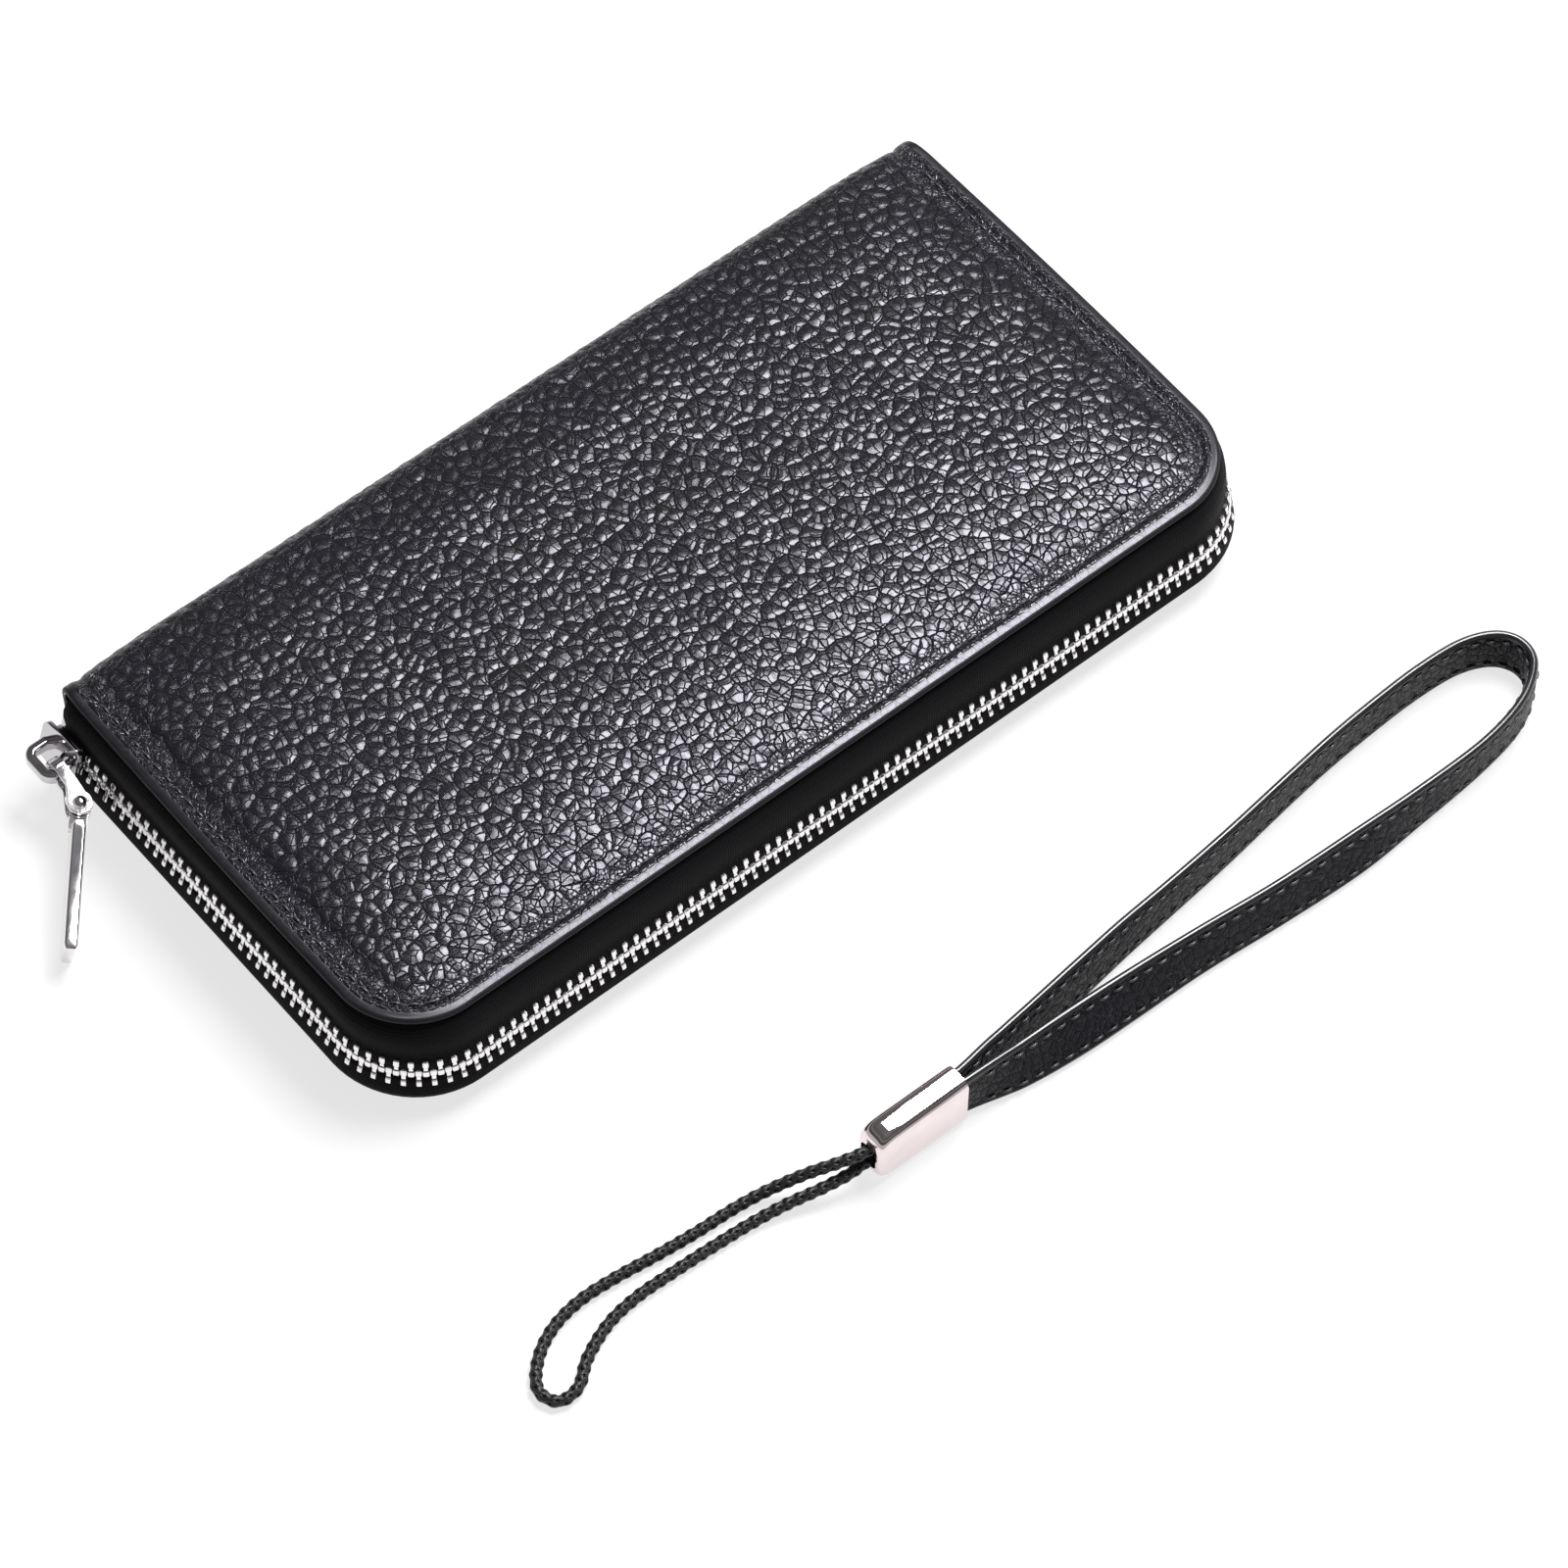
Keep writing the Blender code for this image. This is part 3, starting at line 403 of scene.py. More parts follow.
def pebbleLeather(name, cell=1.0, dull=0.0, banded=True, shine=0.62, depthShare=1.0):
    material, tree, shader = newMaterial(name)
    spot = attributeNode(tree, "hideSpot").outputs["Vector"]
    edge = attributeNode(tree, "edgeRun").outputs["Fac"]
    moved = strayed(tree, spot)
    size = pebble["cell"] * cell
    big = cellNode(tree, moved, 1 / size, "DISTANCE_TO_EDGE").outputs["Distance"]
    near = cellNode(tree, moved, 1 / size, "F1")
    facet = 1 / (pebble["facet"] * cell)
    small = cellNode(tree, moved, facet, "DISTANCE_TO_EDGE", 1.0).outputs["Distance"]
    bigCrease = easeNode(tree, big, 0.0, 0.075)
    smallCrease = easeNode(tree, small, 0.0, 0.10, 0.42, 1.0)
    net = times(tree, bigCrease, smallCrease)
    dome = easeNode(tree, big, 0.0, 0.42)
    # each pebble leans its own way
    fromHeart = vectorNode(tree, "SUBTRACT", moved, near.outputs["Position"])
    fromHeart = vectorNode(tree, "SCALE", fromHeart, scale=1 / size)
    lean = vectorNode(tree, "SUBTRACT", near.outputs["Color"], (0.5, 0.5, 0.5))
    tilt = vectorNode(tree, "DOT_PRODUCT", fromHeart, lean)
    height = plus(tree, net, times(tree, dome, 0.20))
    height = plus(tree, height, times(tree, tilt, 0.90))
    grain = noiseNode(tree, spot, 5.5, 4.0, 0.6)
    height = plus(tree, height, times(tree, grain, 0.07))
    if banded:
        fine = cellNode(tree, moved, 1 / 0.95, "DISTANCE_TO_EDGE", 1.0).outputs["Distance"]
        fineCrease = easeNode(tree, fine, 0.0, 0.16, 0.25, 1.0)
        a, b, c, d = pebble["pucker"]
        pucker = times(tree, easeNode(tree, edge, a, b), easeNode(tree, edge, d, c))
        wrinkled = times(tree, fineCrease, 0.9)
        mixed = tree.nodes.new("ShaderNodeMix")
        link(tree, times(tree, pucker, 0.75), mixed.inputs[0])
        link(tree, height, mixed.inputs[2])
        link(tree, wrinkled, mixed.inputs[3])
        smoothEdge = easeNode(tree, edge, *pebble["smoothRim"])
        height = times(tree, mixed.outputs[0], smoothEdge)
        # painted shade: along the smooth band by the edge the colour is pulled towards the crease colour
        net = times(tree, net, easeNode(tree, edge, *pebble["smoothRim"], 0.55, 1.0))
    bumpNode(tree, height, pebble["depth"] * depthShare * mm, 1.0, shader)
    patch = noiseNode(tree, spot, 0.035, 2.0)
    top = mixColour(tree, easeNode(tree, patch, 0.35, 0.65), pebble["top"], pebble["cool"])
    # painted shade: the colour runs from the crease colour in the creases to the top colour on the pebbles
    link(tree, mixColour(tree, net, pebble["crease"], top), shader.inputs["Base Color"])
    rough = easeNode(tree, net, 0.0, 1.0, 0.40 + dull, 0.28 + dull)
    stray = times(tree, mathNode(tree, "SUBTRACT", grain, 0.5), 0.10)
    rough = plus(tree, rough, stray)
    link(tree, rough, shader.inputs["Roughness"])
    shader.inputs["Specular IOR Level"].default_value = shine
    shader.inputs["Specular Tint"].default_value = pebble["tint"]
    return material


def plainLeather(name, colour=(0.022, 0.021, 0.025), rough=0.42):
    # fine-grained leather for turned edges, pockets and painted edges
    material, tree, shader = newMaterial(name)
    coord = tree.nodes.new("ShaderNodeTexCoord").outputs["Object"]
    cells = tree.nodes.new("ShaderNodeTexVoronoi")
    cells.feature = "DISTANCE_TO_EDGE"
    cells.inputs["Scale"].default_value = 950
    link(tree, coord, cells.inputs["Vector"])
    crease = easeNode(tree, cells.outputs["Distance"], 0.0, 0.12)
    grain = noiseNode(tree, coord, 2600, 3.0)
    height = plus(tree, times(tree, crease, 0.7), times(tree, grain, 0.3))
    bumpNode(tree, height, 0.07 * mm, 0.8, shader)
    patch = noiseNode(tree, coord, 30, 2.0)
    # painted shade in the creases, together with darker random patches
    creaseShadeAndPatch = tuple(c * 0.55 for c in colour)
    link(tree, mixColour(tree, times(tree, crease, patch), creaseShadeAndPatch, colour), shader.inputs["Base Color"])
    link(tree, easeNode(tree, grain, 0.2, 0.8, rough - 0.06, rough + 0.1), shader.inputs["Roughness"])
    return material


def paintedEdge(name, rough=0.22, coat=0.4, shine=0.5):
    material, tree, shader = newMaterial(name)
    coord = tree.nodes.new("ShaderNodeTexCoord").outputs["Object"]
    ripple = noiseNode(tree, coord, 260, 2.0)
    bumpNode(tree, ripple, 0.06 * mm, 0.6, shader)
    paint = mixColour(tree, ripple, (0.006, 0.006, 0.008), (0.014, 0.013, 0.016))
    link(tree, paint, shader.inputs["Base Color"])
    link(tree, easeNode(tree, ripple, 0.2, 0.8, rough - 0.04, rough + 0.1), shader.inputs["Roughness"])
    shader.inputs["Coat Weight"].default_value = coat
    shader.inputs["Coat Roughness"].default_value = 0.15
    shader.inputs["Specular IOR Level"].default_value = shine
    return material


def wovenCloth(name, colour, pitch=0.62, rough=0.85, spotName=None, sheen=0.25, shine=0.25):
    # over-and-under threads at the given pitch in mm
    material, tree, shader = newMaterial(name)
    if spotName:
        coord = attributeNode(tree, spotName).outputs["Vector"]
        turn = 2 * pi / pitch
    else:
        coord = tree.nodes.new("ShaderNodeTexCoord").outputs["Object"]
        turn = 2 * pi / (pitch * mm)
    split = tree.nodes.new("ShaderNodeSeparateXYZ")
    link(tree, coord, split.inputs[0])
    across = times(tree, split.outputs[0], turn)
    along = times(tree, split.outputs[1], turn)
    warp = mathNode(tree, "SINE", plus(tree, across, along))
    weft = mathNode(tree, "SINE", mathNode(tree, "SUBTRACT", across, along))
    weave = times(tree, warp, weft)
    weave = times(tree, plus(tree, weave, 1.0), 0.5)
    fuzz = noiseNode(tree, coord, 6.0 if spotName else 6000.0, 3.0)
    height = plus(tree, times(tree, weave, 0.75), times(tree, fuzz, 0.25))
    bumpNode(tree, height, 0.13 * mm, 0.9, shader)
    # painted shade in the low parts of the weave, with some random tone from the fuzz
    weaveHollowShade = tuple(c * 0.35 for c in colour)
    link(tree, mixColour(tree, height, weaveHollowShade, colour), shader.inputs["Base Color"])
    link(tree, easeNode(tree, fuzz, 0.2, 0.8, rough - 0.08, rough + 0.08), shader.inputs["Roughness"])
    shader.inputs["Sheen Weight"].default_value = sheen
    shader.inputs["Sheen Roughness"].default_value = 0.5
    shader.inputs["Specular IOR Level"].default_value = shine
    return material


def brightMetal(name, colour=(0.86, 0.84, 0.85), rough=0.12, scratch=0.5):
    material, tree, shader = newMaterial(name)
    coord = tree.nodes.new("ShaderNodeTexCoord").outputs["Object"]
    cloud = noiseNode(tree, coord, 180, 3.0)
    hair = tree.nodes.new("ShaderNodeMapping")
    hair.inputs["Scale"].default_value = (90, 2200, 2200)
    link(tree, coord, hair.inputs["Vector"])
    lines = noiseNode(tree, hair.outputs[0], 1.0, 2.0)
    bumpNode(tree, plus(tree, lines, cloud), 0.006 * mm, scratch, shader)
    shader.inputs["Metallic"].default_value = 1.0
    deeper = tuple(c * 0.82 for c in colour)
    link(tree, mixColour(tree, cloud, deeper, colour), shader.inputs["Base Color"])
    shine = easeNode(tree, cloud, 0.25, 0.75, max(0.03, rough - 0.05), rough + 0.06)
    link(tree, shine, shader.inputs["Roughness"])
    return material


def waxedThread(name, colour=(0.0045, 0.0045, 0.0052), rough=0.40):
    material, tree, shader = newMaterial(name)
    coord = tree.nodes.new("ShaderNodeTexCoord").outputs["Object"]
    fibre = noiseNode(tree, coord, 3200, 4.0, 0.7)
    cloud = noiseNode(tree, coord, 140, 2.0)
    bumpNode(tree, fibre, 0.06 * mm, 0.8, shader)
    pale = tuple(c * 2.4 for c in colour)
    link(tree, mixColour(tree, times(tree, fibre, cloud), colour, pale), shader.inputs["Base Color"])
    link(tree, easeNode(tree, fibre, 0.2, 0.8, rough - 0.1, rough + 0.2), shader.inputs["Roughness"])
    return material


def greyBoard(name):
    material, tree, shader = newMaterial(name)
    coord = tree.nodes.new("ShaderNodeTexCoord").outputs["Object"]
    fleck = noiseNode(tree, coord, 900, 5.0, 0.7)
    bumpNode(tree, fleck, 0.05 * mm, 0.6, shader)
    link(tree, mixColour(tree, fleck, (0.16, 0.15, 0.13), (0.42, 0.40, 0.36)), shader.inputs["Base Color"])
    link(tree, easeNode(tree, fleck, 0.2, 0.8, 0.8, 0.95), shader.inputs["Roughness"])
    return material


coverMaterial = pebbleLeather("pebbledCoverLeather")
strapCell = 0.75  # the strap's pebbles are smaller
strapMaterial = pebbleLeather("pebbledStrapLeather", strapCell, 0.06, False, 0.13, 0.85)
edgeMaterial = paintedEdge("paintedLeatherEdge")
rimMaterial = paintedEdge("coverEdgePaint", 0.45, 0.0, 0.16)
pocketMaterial = plainLeather("pocketLeather")
liningMaterial = wovenCloth("liningCloth", (0.062, 0.059, 0.068), 0.8, 0.8)
gussetMaterial = wovenCloth("gussetCloth", (0.050, 0.047, 0.056), 0.7, 0.82)
tapeMaterial = wovenCloth("zipTapeCloth", (0.0044, 0.0040, 0.0054), 1.0, 0.85, "tapeSpot", 0.03, 0.09)
coinTapeMaterial = wovenCloth("coinZipTapeCloth", (0.012, 0.011, 0.014), 0.6, 0.85)
teethMaterial = brightMetal("zipTeethMetal", (0.93, 0.91, 0.91), 0.16)
sliderMaterial = brightMetal("sliderMetal", (0.62, 0.60, 0.62), 0.08)
pullMaterial = brightMetal("pullMetal", (0.90, 0.87, 0.88), 0.07, 0.25)
ferruleMaterial = brightMetal("ferruleMetal", (0.89, 0.78, 0.79), 0.06, 0.2)
threadMaterial = waxedThread("sewingThread", (0.026, 0.025, 0.029), 0.22)
cordMaterial = waxedThread("waxedCord")
boardMaterial = greyBoard("stiffenerBoard")
print("materials made")

cordLook = {
    "diameter": 2.6,
    "strands": 8,
    "strandRadius": 0.46,
    "ringRadius": 0.80,
    "overUnder": 0.11,
    "coreRadius": 0.72,
    "turn": 8.5,
    "step": 0.42,
    "knots": [
        (-37.5, -102.95, 8.1), (-41, -102.8, 8.1), (-45, -101.4, 7.4), (-50, -98.6, 5.2), (-56, -95.9, 2.6),
        (-62, -94.6, 1.5), (-70, -94.1, 1.4), (-78, -93.3, 1.4), (-86, -92.3, 1.4), (-93, -92, 1.4),
        (-99.5, -93.2, 1.4), (-105, -96.2, 1.4), (-108.6, -100.6, 1.4), (-107.4, -104.4, 1.4),
        (-103.2, -104.5, 1.4), (-98.6, -101.2, 1.4), (-92, -98.4, 1.4), (-85, -97.4, 1.4), (-77, -97.6, 1.4),
        (-69, -98, 1.4), (-61.5, -98.6, 1.5), (-55, -99.9, 2.4), (-49, -101.8, 3.7), (-44.5, -102.8, 4.4),
        (-41, -102.95, 4.7), (-37.5, -102.95, 4.7),
    ],
}


def steadyFrames(line):
    # along, side and up at each point of a line, turned as little as possible from one to the next
    along = np.gradient(line, axis=0)
    along /= np.linalg.norm(along, axis=1)[:, None]
    side = np.cross(along[0], (0, 0, 1.0))
    side /= np.linalg.norm(side)
    sides = []
    for a in along:
        side = side - a * side.dot(a)
        side /= np.linalg.norm(side)
        sides.append(side.copy())
    sides = np.array(sides)
    return along, sides, np.cross(sides, along)


def braidedCord(look):
    line = smoothRoute(look["knots"], look["step"])
    along, side, up = steadyFrames(line)
    run = runAlong(line)
    shapes = []
    half = look["strands"] // 2
    for strand in range(look["strands"]):
        hand = 1 if strand < half else -1
        start = 2 * pi * (strand % half) / half + (0 if hand > 0 else pi / half)
        angle = start + hand * 2 * pi * run / look["turn"]
        weave = hand * np.cos(half * 2 * pi * run / look["turn"] + half * start * hand)
        reach = look["ringRadius"] + look["overUnder"] * weave
        centre = line + reach[:, None] * (np.cos(angle)[:, None] * side + np.sin(angle)[:, None] * up)
        outward = np.cos(angle)[:, None] * side + np.sin(angle)[:, None] * up
        across = np.cross(along, outward)
        loops = []
        for c, o, w in zip(centre, outward, across):
            ring = []
            for turn in fullTurn(7):
                reach = 0.62 * cos(turn) * o + 1.12 * sin(turn) * w  # each strand lies flat
                ring.append(tuple(c + look["strandRadius"] * reach))
            loops.append(ring)
        shapes.append(sweptShape(loops))
    # the core that fills the middle of the braid
    core = []
    for c, s, u in zip(line[::4], side[::4], up[::4]):
        ring = [c + look["coreRadius"] * (cos(t) * s + sin(t) * u) for t in fullTurn(8)]
        core.append([tuple(spot) for spot in ring])
    shapes.append(sweptShape(core))
    return solidPiece("braidedCordLoop", shapes, cordMaterial), line, float(run[-1])


cordPiece, cordLine, cordLength = braidedCord(cordLook)
settle(cordPiece, "wrist_strap", "cord_loop")
print("cord made, mm:", round(cordLength, 1))

cover = {
    "halfLength": 94.35,
    "frontY": -45.85,
    "foldY": 44.5,
    "foldRadius": 4.0,
    "height": 24.2,
    "cornerRadius": 14.4,
    "thickness": 1.3,
    "crown": 1.5,  # how far the padding lifts the middle of the top
    "frontRun": 27.0,  # how far in from the front it goes on rising
    "sideRun": 17.0,
    "stitchIn": 2.9,
    "stitchLength": 2.35,
    "stitchPitch": 3.0,
    "threadRadius": 0.27,
    "sink": 0.5,  # depth of the sewn groove
    "grooveWidth": 0.85,
    "lip": (0.22, 1.2, 0.7),  # height, distance from the edge and width
    "dip": (-0.30, 5.4, 1.1),
    "curl": 0.75,  # how far the underside's rim stands off the table
    "underLift": 0.09,
    "spineDraw": 0.45,
    "endPinch": 0.7,
    "frontBow": 0.5,
    "hinge": ((0, 0.0485, 0.003), (0, 0.0485, 0.0205)),  # where the leather starts and ends turning
    "step": 0.63,
    "underStep": 1.3,
    "insideStep": 4.0,
}
topRun = cover["foldY"] - cover["frontY"]
foldRun = pi / 2 * cover["foldRadius"]
spineRun = cover["height"] - 2 * cover["foldRadius"]
wholeRun = 2 * topRun + 2 * foldRun + spineRun


def coverProfile(s):
    # y, z and the outward direction of the sheet at distance s along it, from the top's front edge
    r = cover["foldRadius"]
    foldY, high = cover["foldY"], cover["height"]
    y = np.zeros_like(s)
    z = np.zeros_like(s)
    ny = np.zeros_like(s)
    nz = np.zeros_like(s)
    starts = np.cumsum([0, topRun, foldRun, spineRun, foldRun])
    part = np.clip(np.searchsorted(starts, s, side="right") - 1, 0, 4)
    top = part == 0
    y[top], z[top], nz[top] = cover["frontY"] + s[top], high, 1
    fold = part == 1
    a = (s[fold] - starts[1]) / r
    y[fold], z[fold] = foldY + r * np.sin(a), high - r + r * np.cos(a)
    ny[fold], nz[fold] = np.sin(a), np.cos(a)
    spine = part == 2
    y[spine], z[spine], ny[spine] = foldY + r, high - r - (s[spine] - starts[2]), 1
    fold = part == 3
    a = (s[fold] - starts[3]) / r
    y[fold], z[fold] = foldY + r * np.cos(a), r - r * np.sin(a)
    ny[fold], nz[fold] = np.cos(a), -np.sin(a)
    under = part == 4
    y[under], z[under], nz[under] = foldY - (s[under] - starts[4]), 0, -1
    return y, z, ny, nz


def roundCorners(u, s):
    # pushes the sheet's square corners into round ones
    r = cover["cornerRadius"]
    half = cover["halfLength"]
    u, s = u.copy(), s.copy()
    fromEnd = np.minimum(s, wholeRun - s)
    corner = (np.abs(u) > half - r) & (fromEnd < r)
    a = (np.abs(u[corner]) - (half - r)) / r
    b = (r - fromEnd[corner]) / r
    newU = np.sign(u[corner]) * (half - r + r * a * np.sqrt(1 - b * b / 2))
    newEnd = r - r * b * np.sqrt(1 - a * a / 2)
    u[corner] = newU
    s[corner] = np.where(s[corner] < wholeRun / 2, newEnd, wholeRun - newEnd)
    return u, s


def edgeDistance(u, s):
    r = cover["cornerRadius"]
    sideGap = cover["halfLength"] - np.abs(u)
    endGap = np.minimum(s, wholeRun - s)
    plain = np.minimum(sideGap, endGap)
    corner = r - np.hypot(np.maximum(r - sideGap, 0), np.maximum(r - endGap, 0))
    return np.where((sideGap < r) & (endGap < r), corner, plain)


def rise(gap, run):
    t = np.clip((gap - 4.6) / run, 0, 1)
    return 1 - (1 - t) ** 2


def ridge(edge, height, at, width):
    return height * np.exp(-(((edge - at) / width) ** 2))


def coverRelief(u, s):
    # how far the outside stands off the plain sheet
    edge = edgeDistance(u, s)
    sideGap = cover["halfLength"] - np.abs(u)
    onTop = 1 - smoothStep(s, topRun - 14, topRun + foldRun * 0.5)
    under = smoothStep(s, wholeRun - topRun - 2, wholeRun - topRun + 8)
    onSpine = (1 - onTop) * (1 - under)
    swell = rise(sideGap, cover["sideRun"]) * rise(s, cover["frontRun"])
    groove = ridge(edge, -cover["sink"], cover["stitchIn"], cover["grooveWidth"])
    top = cover["crown"] * swell + groove + ridge(edge, *cover["lip"]) + ridge(edge, *cover["dip"])
    # the underside is pressed flat, and its rim curls up
    flat = -cover["curl"] * (1 - smoothStep(edge, 0.5, 9.0)) + 0.6 * groove
    foldEnd = topRun + foldRun
    leaving = 1 - smoothStep(s, wholeRun - foldEnd - 4, wholeRun - topRun - 3)
    drawn = smoothStep(s, topRun + 3, foldEnd + 4) * leaving
    carried = cover["crown"] * rise(sideGap, cover["sideRun"]) * 0.45
    carried = carried * (1 - smoothStep(s, topRun, foldEnd + 5))
    spine = carried - cover["spineDraw"] * drawn + groove * 0.8
    upper = np.where(s < wholeRun / 2, onTop * top, 0)
    return upper + under * np.minimum(flat, -cover["underLift"]) + onSpine * spine


def coverPlace(u, s, lift):
    y, z, ny, nz = coverProfile(s)
    foldEnd = topRun + foldRun
    leaving = 1 - smoothStep(s, wholeRun - foldEnd, wholeRun - topRun + 3)
    pinch = cover["endPinch"] * smoothStep(s, topRun - 3, foldEnd) * leaving
    x = u * (1 - pinch / cover["halfLength"])
    bow = cover["frontBow"] * np.cos(np.clip((s - topRun / 2) / topRun, -0.5, 0.5) * pi) * (s < topRun)
    x = x + np.sign(u) * bow * (np.abs(u) / cover["halfLength"]) ** 6
    return np.stack([x, y + ny * lift, z + nz * lift], -1), np.stack([np.zeros_like(y), ny, nz], -1)


def sheetRows(step, underStep):
    first = np.linspace(0, topRun, int(topRun / step) + 1)
    middle = np.linspace(topRun, wholeRun - topRun, int((wholeRun - 2 * topRun) / step) + 1)[1:]
    last = np.linspace(wholeRun - topRun, wholeRun, int(topRun / underStep) + 1)[1:]
    return np.concatenate([first, middle, last])


def gridFaces(rows, cols, first=0):
    return [
        (n, n + 1, n + cols + 1, n + cols)
        for i in range(rows - 1) for n in range(first + i * cols, first + (i + 1) * cols - 1)
    ]


def ringOf(rows, cols):
    # indices round the edge of a grid
    top = [(0, j) for j in range(cols)]
    right = [(i, cols - 1) for i in range(1, rows)]
    bottom = [(rows - 1, j) for j in range(cols - 2, -1, -1)]
    left = [(i, 0) for i in range(rows - 2, 0, -1)]
    return [i * cols + j for i, j in top + right + bottom + left]


def pebbleRelief(cell=1.0):
    # lifts each pebble of the mesh, on the same cells as the leather's finish
    tree = bpy.data.node_groups.new("pebbleRelief", "GeometryNodeTree")
    tree.interface.new_socket("Geometry", in_out="INPUT", socket_type="NodeSocketGeometry")
    tree.interface.new_socket("Geometry", in_out="OUTPUT", socket_type="NodeSocketGeometry")
    start = tree.nodes.new("NodeGroupInput")
    end = tree.nodes.new("NodeGroupOutput")
    setPlace = tree.nodes.new("GeometryNodeSetPosition")

    def named(name, kind):
        node = tree.nodes.new("GeometryNodeInputNamedAttribute")
        node.data_type = kind
        node.inputs["Name"].default_value = name
        return node.outputs[0]

    moved = strayed(tree, named("hideSpot", "FLOAT_VECTOR"))
    size = cellNode(tree, moved, 1 / (pebble["cell"] * cell), "DISTANCE_TO_EDGE").outputs["Distance"]
    lift = easeNode(tree, size, 0.0, 0.45, -0.5, 0.5)
    lift = times(tree, lift, named("grainShare", "FLOAT"))
    lift = times(tree, lift, pebble["dome"] * mm)
    normal = tree.nodes.new("GeometryNodeInputNormal").outputs[0]
    offset = tree.nodes.new("ShaderNodeVectorMath")
    offset.operation = "SCALE"
    link(tree, normal, offset.inputs[0])
    link(tree, lift, offset.inputs["Scale"])
    link(tree, start.outputs[0], setPlace.inputs["Geometry"])
    link(tree, offset.outputs["Vector"], setPlace.inputs["Offset"])
    link(tree, setPlace.outputs[0], end.inputs[0])
    return tree


def applyTree(piece, tree):
    step = piece.modifiers.new("relief", "NODES")
    step.node_group = tree
    graph = bpy.context.evaluated_depsgraph_get()
    mesh = bpy.data.meshes.new_from_object(piece.evaluated_get(graph))
    piece.modifiers.clear()
    piece.data = mesh


def addSpots(mesh, spots, edges, grains):
    for name, values in (("hideSpot", spots), ("edgeRun", edges), ("grainShare", grains)):
        isSpot = name == "hideSpot"
        layer = mesh.attributes.new(name, "FLOAT_VECTOR" if isSpot else "FLOAT", "POINT")
        layer.data.foreach_set("vector" if isSpot else "value", np.asarray(values, np.float32).ravel())


def coverSheet():
    cols = int(2 * cover["halfLength"] / cover["step"]) + 1
    rowsAt = sheetRows(cover["step"], cover["underStep"])
    rows = len(rowsAt)
    u, s = np.meshgrid(np.linspace(-cover["halfLength"], cover["halfLength"], cols), rowsAt)
    u, s = roundCorners(u.ravel(), s.ravel())
    places, normals = coverPlace(u, s, coverRelief(u, s))
    spots = np.stack([u, s, np.zeros_like(u)], -1)
    edges = edgeDistance(u, s)
    points = [places]
    allSpots, allEdges = [spots], [edges]
    faces = [face[::-1] for face in gridFaces(rows, cols)]
    # the rim, half round
    ring = ringOf(rows, cols)
    rim = places[ring]
    rimNormal = normals[ring]
    ahead = np.roll(rim, -1, axis=0) - np.roll(rim, 1, axis=0)
    outward = np.cross(ahead, rimNormal)
    outward /= np.linalg.norm(outward, axis=1)[:, None]
    toMiddle = np.stack([-rim[:, 0], np.zeros(len(rim)), np.zeros(len(rim))], -1)
    flip = np.where((outward * toMiddle).sum(1) > 0, 1, -1)
    if flip.sum() > 0:
        outward = -outward
    half = cover["thickness"] / 2
    before = ring
    count = len(places)
    for angle in (35, 70, 110, 145, 180):
        a = radians(angle)
        level = rim - rimNormal * half + rimNormal * half * cos(a) + outward * half * sin(a)
        points.append(level)
        allSpots.append(spots[ring])
        allEdges.append(np.full(len(ring), -0.5))
        now = [count + k for k in range(len(ring))]
        for k in range(len(ring)):
            m = (k + 1) % len(ring)
            faces.append((before[k], before[m], now[m], now[k]))
        before = now
        count += len(ring)
    # the inside, a coarser grid
    inCols = int(2 * cover["halfLength"] / cover["insideStep"]) + 1
    inRowsAt = sheetRows(cover["insideStep"], cover["insideStep"])
    iu, si = np.meshgrid(np.linspace(-cover["halfLength"], cover["halfLength"], inCols), inRowsAt)
    iu, si = roundCorners(iu.ravel(), si.ravel())
    iu = iu * 0.995
    inside, inNormals = coverPlace(iu, si, np.minimum(coverRelief(iu, si), 0.0))
    inside = inside - inNormals * cover["thickness"]
    points.append(inside)
    allSpots.append(np.stack([iu, si, np.zeros_like(iu)], -1))
    allEdges.append(np.full(len(iu), -0.5))
    inRows = len(inRowsAt)
    faces += gridFaces(inRows, inCols, count)
    points = np.concatenate(points)
    allSpots = np.concatenate(allSpots)
    allEdges = np.concatenate(allEdges)
    grains = smoothStep(allEdges, 3.4, 5.4)
    piece = newPiece("coverLeather", points.tolist(), faces, [coverMaterial, rimMaterial, edgeMaterial])
    addSpots(piece.data, allSpots, allEdges, grains)
    firstRim = (rows - 1) * (cols - 1)
    for k in range(firstRim, firstRim + 5 * len(ring)):
        piece.data.polygons[k].material_index = 2 if k >= firstRim + 3 * len(ring) else 1
    work = bmesh.new()
    work.from_mesh(piece.data)
    work.edges.ensure_lookup_table()
    bmesh.ops.bridge_loops(work, edges=[e for e in work.edges if len(e.link_faces) == 1])
    bmesh.ops.recalc_face_normals(work, faces=work.faces)
    left = sum(1 for e in work.edges if len(e.link_faces) != 2)
    for face in work.faces:
        face.smooth = True
    work.to_mesh(piece.data)
    work.free()
    print("cover sheet:", len(piece.data.polygons), "faces, open edges:", left)
    applyTree(piece, pebbleRelief())
    return piece


coverPiece = coverSheet()
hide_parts("bottom_leather", "spine_leather", "top_leather")
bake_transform(coverPiece)


def stitchShape(start, end, radius, bend):
    # one stitch: a short thread that dives at both ends
    line = np.array([start, end], float)
    middle = line.mean(0)
    length = np.linalg.norm(line[1] - line[0])
    along = (line[1] - line[0]) / length
    side = np.cross(along, bend)
    side /= np.linalg.norm(side)
    loops = []
    for t in (-1.0, -0.9, -0.6, 0.0, 0.6, 0.9, 1.0):
        place = middle + along * t * length / 2 - bend * radius * 1.9 * abs(t) ** 3 + bend * radius * 0.9
        thick = radius * (1.0 if abs(t) < 0.8 else 0.75)
        ring = [place + thick * (cos(k) * side + sin(k) * bend) for k in fullTurn(6)]
        loops.append([tuple(spot) for spot in ring])
    return sweptShape(loops)


